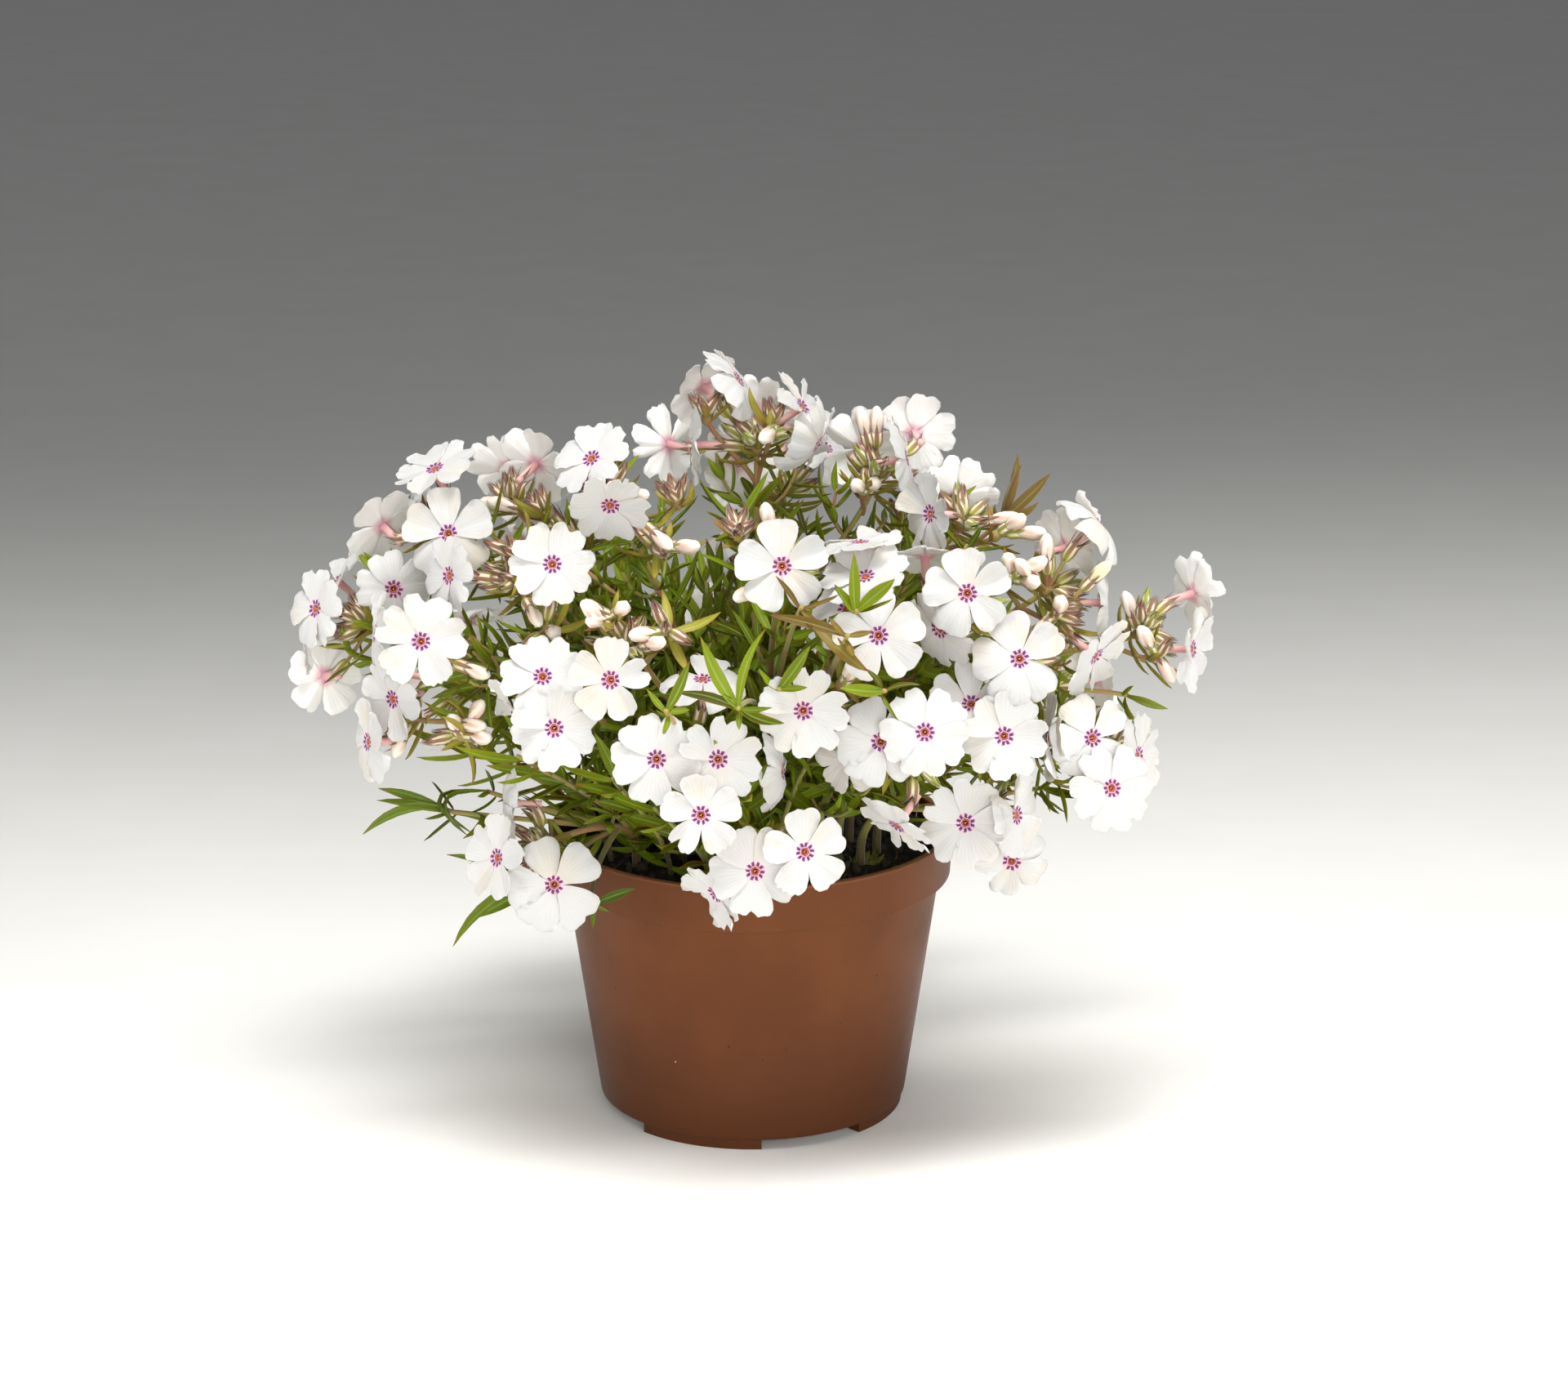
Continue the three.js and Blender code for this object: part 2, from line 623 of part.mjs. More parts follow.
function placedFrontHead(head, index) {
  const [across, up] = head.at;
  const depth = domeDepth(across, up) + head.lift;
  const base = viewPoint(across, up, depth);
  const blooms = head.blooms.map(([x, y, turn, tip, size = 1, extra = 0], i) => {
    const near = seatDepth * Math.cos(degrees(turn)) * Math.cos(degrees(tip));
    const facing = facingOf(turn, tip);
    const placeAt = (stand) => viewPoint(x, y, depth + near + extra + stand);
    return settledBloom((stand) => (
      { centre: placeAt(stand), facing, base, size, seed: index * 10 + i }));
  });
  const axis = base.clone().sub(crown).normalize();
  return { name: head.name, base, axis, blooms, depth, budPlaces: head.buds };
}

function withBuds(head) {
  const buds = head.budPlaces.map(([x, y, near]) => (
    settledBud((stand) => viewPoint(x, y, head.depth + near + stand), head.base)));
  return { ...head, buds };
}

// A head on the far side: one bloom looks straight out and the others round it.
function placedBackHead(head, index) {
  const round = degrees(head.round);
  const rise = degrees(head.rise);
  const out = new THREE.Vector3(
    Math.sin(round) * Math.cos(rise) * backDome.halfWidth,
    -Math.cos(round) * Math.cos(rise) * backDome.halfDepth,
    Math.sin(rise) * backDome.height,
  );
  const base = crown.clone().add(out);
  const axis = out.clone().normalize();
  const side = squareTo(axis);
  const blooms = Array.from({ length: head.blooms }, (_, i) => {
    const seed = 300 + index * 10 + i;
    const tilt = i === 0 ? backBloom.middleTilt : between(...backBloom.tilts, chance(seed, 2));
    const angle = ((i + chance(seed, 3) * backBloom.scatter) / (head.blooms - 1)) * 2 * Math.PI;
    const hinge = side.clone().applyAxisAngle(axis, angle);
    const facing = axis.clone().applyAxisAngle(hinge, degrees(tilt));
    const reach = corolla.calyxFoot + between(...backBloom.pedicels, chance(seed, 4));
    const placeAt = (stand) => base.clone().addScaledVector(facing, reach + stand / 2);
    return settledBloom((stand) => ({ centre: placeAt(stand), facing, base, size: 1, seed }));
  });
  return { name: head.name, base, axis, blooms, depth: 0, budPlaces: [] };
}

function headSolid(head) {
  const top = head.base.clone().addScaledVector(head.axis, knob.above);
  const bottom = head.base.clone().addScaledVector(head.axis, -knob.below);
  const core = bar([bottom, top], [knob.radius, knob.radius], knob.sides);
  const parts = [core];
  head.blooms.forEach((bloom) => parts.push(bloomSkin(bloom, head.base)));
  head.buds.forEach((tip) => parts.push(budSkin(tip, head.base)));
  return joined(parts.map(solidOf));
}

// ---- stems and leaves ---------------------------------------------------------------------

// Where a stem enters the soil: under its heads, nearer the rim for heads that hang low.
function stemFoot(heads) {
  const mean = new THREE.Vector3();
  heads.forEach((head) => mean.add(head.base));
  mean.divideScalar(heads.length);
  const out = new THREE.Vector3(mean.x, mean.y, 0);
  const share = out.length() / Math.hypot(out.length(), mean.z - soil.top);
  return out.setLength(stem.innerFoot + stem.footSpread * share * share);
}

// Where a stem ends, a little short of the knob of its head.
function stemTip(head) {
  return head.base.clone().addScaledVector(head.axis, -(knob.below + stem.tipGap));
}

// The stem rises out of the soil, leans out in one long curve and meets the head along its axis.
function stemCurve(place, head) {
  const tip = stemTip(head);
  const start = new THREE.Vector3(place.x, place.y, soil.top + stem.straight);
  const reach = tip.distanceTo(start);
  return new THREE.CubicBezierCurve3(
    start,
    start.clone().add(new THREE.Vector3(0, 0, reach * stem.rise)),
    tip.clone().addScaledVector(head.axis, -reach * stem.arrive),
    tip,
  );
}

function mainStem(place, head) {
  const curve = stemCurve(place, head);
  const root = new THREE.Vector3(place.x, place.y, soil.top - stem.footDepth + stem.clear);
  const path = [root, ...curve.getPoints(stem.steps)];
  const radii = path.map((_, i) => (
    between(stem.footRadius, stem.tipRadius, Math.max(0, i - 1) / stem.steps)));
  const line = middleLine(path.slice(1));
  return { curve, line, skin: bar(path, radii, stem.sides, new THREE.Vector3(0, 0, 1), head.axis) };
}

// A fork leaves the main stem part of the way up and curves over to its own head.
function forkStem(mainCurve, head) {
  const start = mainCurve.getPoint(fork.at);
  const tip = stemTip(head);
  const reach = tip.distanceTo(start);
  const curve = new THREE.CubicBezierCurve3(
    start,
    start.clone().addScaledVector(mainCurve.getTangent(fork.at), reach * fork.leave),
    tip.clone().addScaledVector(head.axis, -reach * stem.arrive),
    tip,
  );
  const path = curve.getPoints(stem.steps - 1);
  const radii = path.map((_, i) => between(fork.radius, stem.tipRadius, i / path.length));
  return { line: middleLine(path), skin: bar(path, radii, stem.sides, undefined, head.axis) };
}

// A narrow pointed leaf from root to tip, keeled under its middle; upper is the side it faces.
function leafSkin({ root, tip, upper }, grow = 0) {
  const run = tip.clone().sub(root);
  const across = new THREE.Vector3().crossVectors(run, upper).normalize();
  const up = new THREE.Vector3().crossVectors(across, run).normalize();
  const middle = root.clone().addScaledVector(run, leaf.widest)
    .addScaledVector(up, -leaf.bow * run.length());
  const half = leaf.width / 2 + grow;
  const thick = leaf.thickness / 2 + grow;
  const section = [
    middle.clone().addScaledVector(across, -half).addScaledVector(up, thick),
    middle.clone().addScaledVector(across, half).addScaledVector(up, thick),
    middle.clone().addScaledVector(up, -thick),
  ];
  return skin([[root], section, [tip]]);
}

// The skins of a leafy shoot: a thin fork that ends in a whorl of long leaves.
function shootSkins(mainCurve, { tip, depth, leaves }) {
  const start = mainCurve.getPoint(shoot.forkAt);
  const end = viewPoint(tip[0], tip[1], depth);
  const upper = end.clone().sub(start).normalize();
  const bend = end.clone().lerp(mainCurve.getPoint(shoot.bendAt), 0.5);
  const knot = end.clone().addScaledVector(upper, shoot.knot);
  const blades = leaves.map(([across, up, away]) => (
    leafSkin({ root: end, tip: viewPoint(across, up, away), upper })));
  return [bar([start, bend, knot], shoot.radii, stem.sides), ...blades];
}

// The middle line that a stem's bar really follows: straight from each ring to the next.
function middleLine(points) {
  const line = new THREE.CurvePath();
  points.slice(1).forEach((point, i) => line.add(new THREE.LineCurve3(points[i], point)));
  return line;
}

// Pairs of leaves up a stem, each pair turned a quarter round from the one below.
function leavesAlong(line, seed, from) {
  const length = line.getLength();
  const count = Math.floor((length - from - leaf.tipClear) / leaf.spacing);
  const leaves = [];
  for (let i = 0; i < count; i += 1) {
    const share = (from + (i + 0.5) * leaf.spacing) / length;
    const root = line.getPointAt(share);
    const along = line.getTangentAt(share);
    const turn = leaf.quarterTurn * i + leaf.scatter * chance(seed, i);
    const side = squareTo(along).applyAxisAngle(along, degrees(turn));
    for (const way of [1, -1]) {
      const size = leaf.length * between(...leaf.lengths, chance(seed + i, 40 + way));
      const tip = root.clone()
        .addScaledVector(side, way * size * Math.sin(degrees(leaf.angle)))
        .addScaledVector(along, size * Math.cos(degrees(leaf.angle)));
      leaves.push({ root, tip, upper: along });
    }
  }
  return leaves;
}

// ---- assembly -----------------------------------------------------------------------------

const placedHeads = [...frontHeads.map(placedFrontHead), ...backHeads.map(placedBackHead)];
const heads = new Map(placedHeads.map((head) => [head.name, withBuds(head)]));

const group = new THREE.Group();
const stemFeet = stems.map((names) => stemFoot(names.map((name) => heads.get(name))));
const potBody = potSolid();
group.add(meshFrom(potBody, 'pot', potPlastic));
const soilBody = soilSolid(stemFeet);
group.add(meshFrom(soilBody, 'soil', darkPeat));

const inTheWay = [potBody, soilBody];
for (const head of heads.values()) {
  const solid = headSolid(head);
  inTheWay.push(solid);
  group.add(meshFrom(solid, `head_${head.name}`, whitePetal));
}

const clearOf = (solid, others) => others.every((other) => solid.intersect(other).isEmpty());

const bareStems = stems.map((names, i) => {
  const main = mainStem(stemFeet[i], heads.get(names[0]));
  const forks = names.slice(1).map((name) => forkStem(main.curve, heads.get(name)));
  const branches = [main, ...forks];
  const leafy = shoots.filter(({ on }) => on === names[0]);
  const skins = leafy.flatMap((row) => shootSkins(main.curve, row));
  const solid = joined([...branches.map((branch) => branch.skin), ...skins].map(solidOf));
  return { lines: branches.map((branch) => branch.line), solid };
});

const leafyStems = bareStems.map((bare) => bare.solid);
bareStems.forEach(({ lines }, i) => {
  lines.forEach((line, branch) => {
    const first = branch === 0 ? leaf.firstOnStem : leaf.firstOnFork;
    for (const blade of leavesAlong(line, i * 20 + branch * 7, first)) {
      const others = [...inTheWay, ...leafyStems.filter((_, j) => j !== i)];
      if (clearOf(solidOf(leafSkin(blade, leaf.clear)), others)) {
        leafyStems[i] = leafyStems[i].add(solidOf(leafSkin(blade)));
      }
    }
  });
});
leafyStems.forEach((solid, i) => group.add(meshFrom(solid, `stem_${stems[i][0]}`, greenLeaf)));

export default group;
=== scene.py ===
import functools
import math

import bmesh
import bpy
import numpy as np
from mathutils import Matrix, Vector, noise


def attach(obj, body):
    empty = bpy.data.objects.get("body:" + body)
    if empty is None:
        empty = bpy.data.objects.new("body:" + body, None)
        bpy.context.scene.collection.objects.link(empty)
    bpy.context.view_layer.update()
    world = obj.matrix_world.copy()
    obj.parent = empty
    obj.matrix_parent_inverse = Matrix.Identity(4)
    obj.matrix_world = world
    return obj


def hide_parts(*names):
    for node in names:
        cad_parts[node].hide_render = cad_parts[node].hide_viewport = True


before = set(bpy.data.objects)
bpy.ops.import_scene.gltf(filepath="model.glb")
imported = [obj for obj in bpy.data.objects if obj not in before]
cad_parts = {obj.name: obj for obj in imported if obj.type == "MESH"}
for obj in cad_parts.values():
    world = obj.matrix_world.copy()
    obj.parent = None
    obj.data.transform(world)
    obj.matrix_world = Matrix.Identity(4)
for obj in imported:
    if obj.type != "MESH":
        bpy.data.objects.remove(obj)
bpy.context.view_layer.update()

# Creeping phlox in full bloom in a moulded nursery pot. Lengths are in millimetres until a mesh is made.
mm = 0.001
golden = math.radians(137.5)
wholeTurn = 2 * math.pi
anyTurn = 6.3  # times a chance, some way round
crosswise = 1.57  # from one pair of leaves to the next

# Camera: first, at the angle that the plant is looked at from

view = {"lean": math.radians(16.2), "distance": 1000, "middle": np.array((8.3, 0.0, 110.0)), "lens": 88.7,
        "film": 36, "drawnFrom": 0.05}


def viewDirection(right, up, near):
    sine, cosine = math.sin(view["lean"]), math.cos(view["lean"])
    return np.array((right, up * sine - near * cosine, up * cosine + near * sine))


def viewPoint(across, up, depth):  # what the eye sees at (across, up) on the leaning plane
    shrink = 1 - depth / view["distance"]
    return view["middle"] + viewDirection(across * shrink, up * shrink, depth)


def newObject(name, data):
    made = bpy.data.objects.new(name, data)
    bpy.context.scene.collection.objects.link(made)
    return made


def makeCamera():
    camera = newObject("camera", bpy.data.cameras.new("camera"))
    camera.data.lens = view["lens"]
    camera.data.sensor_width = view["film"]
    camera.data.clip_start = view["drawnFrom"]
    camera.location = Vector((view["middle"] + viewDirection(0, 0, view["distance"])) * mm)
    camera.rotation_euler = (math.pi / 2 - view["lean"], 0, 0)
    bpy.context.scene.camera = camera


makeCamera()

# Small helpers


def chance(a, b):  # the same number between 0 and 1 for the same pair of counts
    state = (a * 7919 + b * 104729 + 12345) % 2147483647
    for _ in range(4):
        state = state * 16807 % 2147483647
    return state / 2147483647


def between(low, high, share):
    return low + (high - low) * share


def pick(limits, a, b):  # the same number between two limits for the same pair of counts
    return between(*limits, chance(a, b))


def unit(v):
    return v / math.sqrt(v[0] * v[0] + v[1] * v[1] + v[2] * v[2])


def cross(a, b):
    return np.array((a[1] * b[2] - a[2] * b[1], a[2] * b[0] - a[0] * b[2], a[0] * b[1] - a[1] * b[0]))


def turned(v, axis, angle):
    cosine = math.cos(angle)
    return v * cosine + cross(axis, v) * math.sin(angle) + axis * (axis @ v) * (1 - cosine)


def sideOf(way, angle=0):  # square to a way, at an angle round it
    other = (0.0, 0.0, 1.0) if abs(way[2]) < 0.9 else (1.0, 0.0, 0.0)
    return turned(unit(cross(other, way)), way, angle)


def tilted(axis, tilt, angle):  # an axis tilted over, at an angle round where it was
    return turned(turned(axis, sideOf(axis), tilt), axis, angle)


def reached(root, side, along, length, angle):  # the end of a straight piece that leaves at an angle
    return root + side * length * math.sin(angle) + along * length * math.cos(angle)


def bezierAt(curve, t):
    a, b, c, d = curve
    return (1 - t) ** 3 * a + 3 * (1 - t) ** 2 * t * b + 3 * (1 - t) * t * t * c + t ** 3 * d


def bezier(a, b, c, d, count):
    return bezierAt((a, b, c, d), np.linspace(0, 1, count)[:, None])


def waysAlong(points):
    ways = np.gradient(points, axis=0)
    return ways / np.linalg.norm(ways, axis=1)[:, None]


def framesAlong(points):  # two ways square to the path at each point, with no twist between them
    ways = waysAlong(points)
    sides = [sideOf(ways[0])]
    for way in ways[1:]:
        sides.append(unit(sides[-1] - way * (sides[-1] @ way)))
    return np.array(sides), np.cross(ways, sides)


def lineOf(points):  # a path with the length run at each of its points, and the ways round it
    steps = np.linalg.norm(np.diff(points, axis=0), axis=1)
    side, other = framesAlong(points)
    return {"points": points, "run": np.concatenate(([0], np.cumsum(steps))), "side": side, "other": other}


def pointsAt(line, runs, key="points"):
    return np.stack([np.interp(runs, line["run"], line[key][:, axis]) for axis in range(3)], -1)


def wayAt(line, run, ahead):  # the point at a run and the way from there to one ahead
    spot, after = pointsAt(line, np.array([run, ahead]))
    return spot, unit(after - spot)


def circled(spots, sides, others, radius, angle):  # points at a distance and an angle round their spots
    return spots + radius[..., None] * (np.cos(angle)[..., None] * sides + np.sin(angle)[..., None] * others)


def placeOf(*values):
    return np.stack(np.broadcast_arrays(*values), -1)


# Meshes are put together from patches, each with its skin and the place of its points on it.


def newWork():
    return {"points": [], "faces": [], "place": [], "skins": [], "sides": [], "rims": [], "count": 0}


def addPatch(work, points, faces, place, skin, rim=None):
    # blocks of faces over a patch's points; with a rim it is a sheet, and its second block is the underside
    for side, block in enumerate(faces):
        work["faces"].extend((block + work["count"]).tolist())
        work["skins"].extend([skin] * len(block))
        work["sides"].extend([side if rim is not None else 0] * len(block))
    work["points"].append(points)
    work["place"].append(np.broadcast_to(place, points.shape))
    work["rims"].append(np.zeros(len(points), bool) if rim is None else rim)
    work["count"] += len(points)


def makePiece(name, work, skins, nodes=()):
    mesh = bpy.data.meshes.new(name)
    mesh.from_pydata((np.concatenate(work["points"]) * mm).tolist(), [], work["faces"])
    corners = np.zeros(len(mesh.loops), np.int32)
    mesh.loops.foreach_get("vertex_index", corners)
    where = np.concatenate(work["place"])[corners]
    where[:, 2] += np.repeat(work["sides"], [len(face) for face in work["faces"]])  # 1 more is an underside
    place = mesh.attributes.new("place", "FLOAT_VECTOR", "CORNER")
    place.data.foreach_set("vector", where.astype(np.float32).ravel())
    ends = np.zeros(len(mesh.edges) * 2, np.int32)
    mesh.edges.foreach_get("vertices", ends)
    crease = mesh.attributes.new("sharp_edge", "BOOLEAN", "EDGE")
    crease.data.foreach_set("value", np.concatenate(work["rims"])[ends].reshape(-1, 2).all(axis=1))
    mesh.polygons.foreach_set("use_smooth", np.ones(len(mesh.polygons), bool))
    mesh.polygons.foreach_set("material_index", np.array(work["skins"], np.int32))
    for skin in skins:
        mesh.materials.append(skin)
    mesh.update()
    piece = newObject(name, mesh)
    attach(piece, "root")
    if nodes:
        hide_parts(*nodes)


def gridFaces(rows, columns, wrap=False, flip=False):
    r, c = np.indices((rows - 1, columns - (not wrap))).reshape(2, -1)
    low, high, after = r * columns, (r + 1) * columns, (c + 1) % columns
    quads = np.stack([low + c, high + c, high + after, low + after], -1)
    return quads[:, ::-1] if flip else quads


def addRings(work, rings, place, skin):  # a closed bar over a row of rings; a row may turn back inside itself
    count, sides = rings.shape[:2]
    place = np.broadcast_to(place, rings.shape)
    first, last, end = count * sides, count * sides + 1, (count - 1) * sides
    s = np.arange(sides)
    t = (s + 1) % sides
    faces = [gridFaces(count, sides, wrap=True, flip=True),
             np.stack([np.full(sides, first), t, s], -1),
             np.stack([np.full(sides, last), end + s, end + t], -1)]
    points, where = (np.concatenate((rows.reshape(-1, 3), [rows[0].mean(0)], [rows[-1].mean(0)]))
                     for rows in (rings, place))
    addPatch(work, points, faces, where, skin)


def addTube(work, points, radii, sides, skin, variant=0.5, lobes=0, lobeDepth=0.0, spin=0.0):
    # a round bar along a path; place is (share along, share round, variant)
    side, other = framesAlong(points)
    step = np.arange(len(points))[:, None]
    angle = np.arange(sides) / sides * wholeTurn + step * spin
    ridge = 1 + lobeDepth * np.cos(lobes * (angle - step * spin))
    wide = np.broadcast_to(np.asarray(radii, float), (len(points),))[:, None] * ridge
    place = placeOf(np.linspace(0, 1, len(points))[:, None], np.arange(sides) / sides, variant)
    addRings(work, circled(points[:, None], side[:, None], other[:, None], wide, angle), place, skin)


def addSheet(work, upper, lower, place, skin):  # a thin closed sheet: its two sides share their rim
    rows, columns = upper.shape[:2]
    top = np.arange(rows * columns).reshape(rows, columns)
    under = top.copy()
    under[1:-1, 1:-1] = rows * columns + np.arange((rows - 2) * (columns - 2)).reshape(rows - 2, columns - 2)
    grid = gridFaces(rows, columns)
    rim = np.zeros((rows, columns), bool)
    rim[[0, -1]] = rim[:, [0, -1]] = True
    points, where = (np.concatenate((whole.reshape(-1, 3), inner[1:-1, 1:-1].reshape(-1, 3)))
                     for whole, inner in ((upper, lower), (place, place)))
    addPatch(work, points, [grid, under.ravel()[grid][:, ::-1]], where, skin,
             np.concatenate((rim.ravel(), np.zeros(len(points) - rim.size, bool))))


# Where the heads stand: names and rules are the solids', and so are the places but for five blooms

corolla = {"petals": 5, "length": 10.8, "lengths": (0.94, 1.04), "bends": (-1.8, 1.2), "twists": (-0.5, 0.5),
           "calyxFoot": 14, "seatDepth": 17}
dome = {"across": -2, "up": 5, "halfWidth": 108, "halfRise": 66, "halfDrop": 62, "depth": 61}
crown = np.array((0.0, 0.0, 88.0))  # stems and heads spread from round this point
backDome = np.array((92.0, 68.0, 80.0))
backBloom = {"middleTilt": 8, "tilts": (46, 64), "scatter": 0.4, "pedicels": (4, 9)}
room = {"radius": 10, "gap": 1.6, "parallel": 0.08, "neck": 2.5, "stands": (0, 3, -3, 6, -6, 9, -9, 12, -12)}

# name: ((across, up) of the base, lift off the dome, blooms, buds). A bloom is across, up, turn to the
# right, tip upwards, share of the full length, extra depth; a bud is across, up, depth of its tip.
frontHeads = {
    "left_crest": ((-92, 44), 16, (
        (-90.5, 59, -30, 50), (-87, 42, -10, 10, 1.08), (-104, 44, -140, 30), (-97, 50, -90, 10)), ()),
    "left_out": ((-107, 18), -2, (
        (-121.5, 22.5, -45, 5, 0.98), (-124, 16, -80, 0), (-116, 30, -70, 40, 0.95), (-119, 5, -150, 0),
        (-101, 27.5, 10, -10, 0.9)), ()),
    "left_face": ((-92, 11), 4, ((-94, 14, 0, 0, 1.06), (-106, 16, -75, 10)), ((-76, 5, 8),)),
    "left_heart": ((-69, 29), -4, ((-87, 31, -50, 0, 0.95), (-60, 34, 0, 5)), ((-63, 18, 12),)),
    "left_low": ((-96, -6), 2, ((-101.5, -1, -45, -10), (-108, -12, -60, 0)), ((-101, -16, 7), (-77, -8, 9))),
    "left_high": ((-45, 52), 2, (
        (-50, 61.5, -30, 30), (-45, 49, 0, -40, 0.95)), ((-35, 52, 10), (-29, 38, 12))),
    "left_back": ((-70, 49), -16, ((-71.5, 59, 180, 40), (-64, 60, 150, 30)), ((-79, 50, 4),)),
    "mid_left": ((-58, -2), -4, (
        (-62.5, 5, 0, 20), (-59.5, -8.5, 0, 0), (-70, -5, -80, -30)), ((-67, 11, 8),)),
    "heart_high": ((-40, 12), -4, ((-45, 4, -15, 0, 0.95),), ((-52, 24, 11), (-31, 14, 14))),
    "heart": ((-25, -16), 0, (
        (-33, -16.5, 0, 0, 1.05), (-17, -16.5, 10, 0), (-21.5, -31, 0, 0, 0.95), (-21, 4.5, 0, 60),
        (0, -19.5, 80, 0, 0.95)), ()),
    "left_skirt": ((-62, -38), 2, ((-74.5, -42, -46, 4), (-59.5, -49, 0, 0, 1.1), (-73, -28, -85, 0)), ()),
    "low_front": ((-4, -39), 8, (
        (-7.5, -45.5, 0, 0, 1.05), (-18, -51.5, -55, -30, 0.9), (5.5, -40.5, 15, 0, 1.02)), ()),
    "core": ((-1, 30), -2, ((-0.5, 33.5, 0, 0, 1.05),), ((-13, 25, 12), (-5, 50, 8))),
    "right_heart": ((24, 20), 0, (
        (21, 31, -20, 45, 1.05), (19.5, 40, 0, 75), (24.5, 15.5, 0, 0, 1.08), (16, 22.5, -30, 20)), ()),
    "right_upper": ((46, 23), 1, ((47.5, 26.5, 0, 0), (40, 17, -45, -25, 0.95), (36.5, 36.5, 180, 75)), ()),
    "top_right": ((46, 44), -12, ((45, 51.5, 180, 24), (37.5, 47, -54, 0)), ((61, 46.5, 4),)),
    "top_back": ((24, 56), -24, (
        (20.5, 64, 160, 20), (33.5, 68, -170, 20), (32, 61.5, 80, 10)), ((24, 75, 2), (19.5, 74.5, 5))),
    "top": ((-7, 64), -14, (
        (-24, 65, -85, 0), (-30, 65, -140, 10), (-21, 80, -140, 30), (-11.5, 82, 70, 30), (-7, 73, 170, 20),
        (5, 75, 60, 30), (9, 65, 80, -30), (-12, 60, -160, -10)), ()),
    "right_edge": ((68, 27), -6, (
        (82, 45, 80, 40), (73, 38, 130, 10), (84, 24, 85, 0, 0.95), (81, 10, 60, -35)),
        ((68, 42, 6), (60, 35, 12))),
    "far_right": ((92, 16), -14, (
        (106, 26.5, 120, 15), (106, 12, 65, 0, 1.04)), ((88, 27, 4), (101, 3.5, 6))),
    "right_face": ((60, 8), 1, ((61, 9.5, 0, 0, 1.06),), ((71, 14, 12),)),
    "right_low": ((55, -11), -1, ((57, -10.5, 0, 0, 1.02), (48.5, -2, 0, 30)), ()),
    "right_out": ((82, -15), -4, (
        (80, -11, 20, 0), (85, -24, 20, 0), (92, -15.5, 60, 0), (68, -11, -85, 0, 1, 9)), ()),
    "right_skirt": ((51, -32), 0, (
        (47, -33, 0, 0, 1.05), (60.5, -31, 55, 0), (59, -43, 5, -15, 0.9, -8)), ()),
    "mid_right": ((32, -14), -1, ((25, -12, 0, 0), (36.5, -9.5, 0, 0, 0.98), (29, -34, -60, -50, 0.95)), ()),
    "center": ((7, -5), -1, ((5, -4, 0, -10, 1.06), (16.5, -16.5, -25, -15, 0.85, -12)), ((9, 5, 12),)),
}

# small knots of closed calyces beside a head: across, up, calyces, and the tips of their buds
sideKnots = {
    "left_high": ((-27.5, 50, 6, ()), (-33.4, 38.2, 5, ((-21.8, 38.6, 10),))),
    "left_back": ((-62, 47, 6, ((-76.9, 50.4, 8),)),),
    "left_heart": ((-69, 36, 4, ()), (-61, 17, 3, ((-59.4, 16, 12),))),
    "left_low": ((-83.5, -10.3, 5, ((-86.7, -5.2, 10), (-78, -1.2, 10), (-75.9, -11.1, 10))),),
    "heart_high": ((-44.8, 20.2, 5, ((-52.6, 24, 10), (-51.2, 19.1, 10), (-41, 23.5, 10))),
                   (-30.4, 16.8, 5, ((-40.2, 15.5, 10),))),
    "core": ((-11.6, 41.5, 6, ()),),
    "center": ((15, 3, 3, ((17.3, 7.7, 12),)),),
    "right_edge": ((58.6, 30.1, 4, ((67.9, 35.4, 10), (57.3, 36.6, 10), (65.8, 29.1, 11))),
                   (70.2, 20.4, 7, ((71.2, 25.3, 10), (65.8, 15.3, 11), (84.6, 34.8, 13)))),
    "far_right": ((96, 10, 6, ((91.8, 17.9, 10),)),),
    "top_right": ((55, 41.5, 4, ((62.4, 46.5, 8), (67.9, 42.2, 8))),),
    "top_back": ((21, 53, 5, ((17.5, 55, 8), (23.6, 55.6, 8))),),
    "top": ((-20, 72, 4, ()), (-3, 70, 4, ((-6, 66, 12),))),
}

# name: degrees round from the front, degrees up from the crown, blooms
backHeads = {
    "back_right": (122, 10, 3),
    "back_low_right": (156, 4, 4),
    "back_low_left": (-158, 6, 4),
    "back_left": (-124, 10, 3),
    "back_high_right": (142, 42, 3),
    "back_middle": (180, 22, 4),
    "back_high_left": (-138, 42, 3),
    "back_top": (172, 54, 3),
}

# each stem and the heads it carries: the first on its own tip, the second on a fork
stemHeads = (
    ("left_crest",), ("left_out", "left_low"), ("left_heart", "left_face"), ("left_high", "left_back"),
    ("mid_left",), ("heart", "heart_high"), ("left_skirt",), ("low_front",), ("core", "center"),
    ("right_heart",), ("right_upper",), ("top_right",), ("top", "top_back"), ("right_edge", "far_right"),
    ("right_face", "right_low"), ("right_out",), ("right_skirt",), ("mid_right",),
    ("back_right", "back_high_right"), ("back_low_right",), ("back_low_left",),
    ("back_left", "back_high_left"), ("back_middle", "back_top"),
)

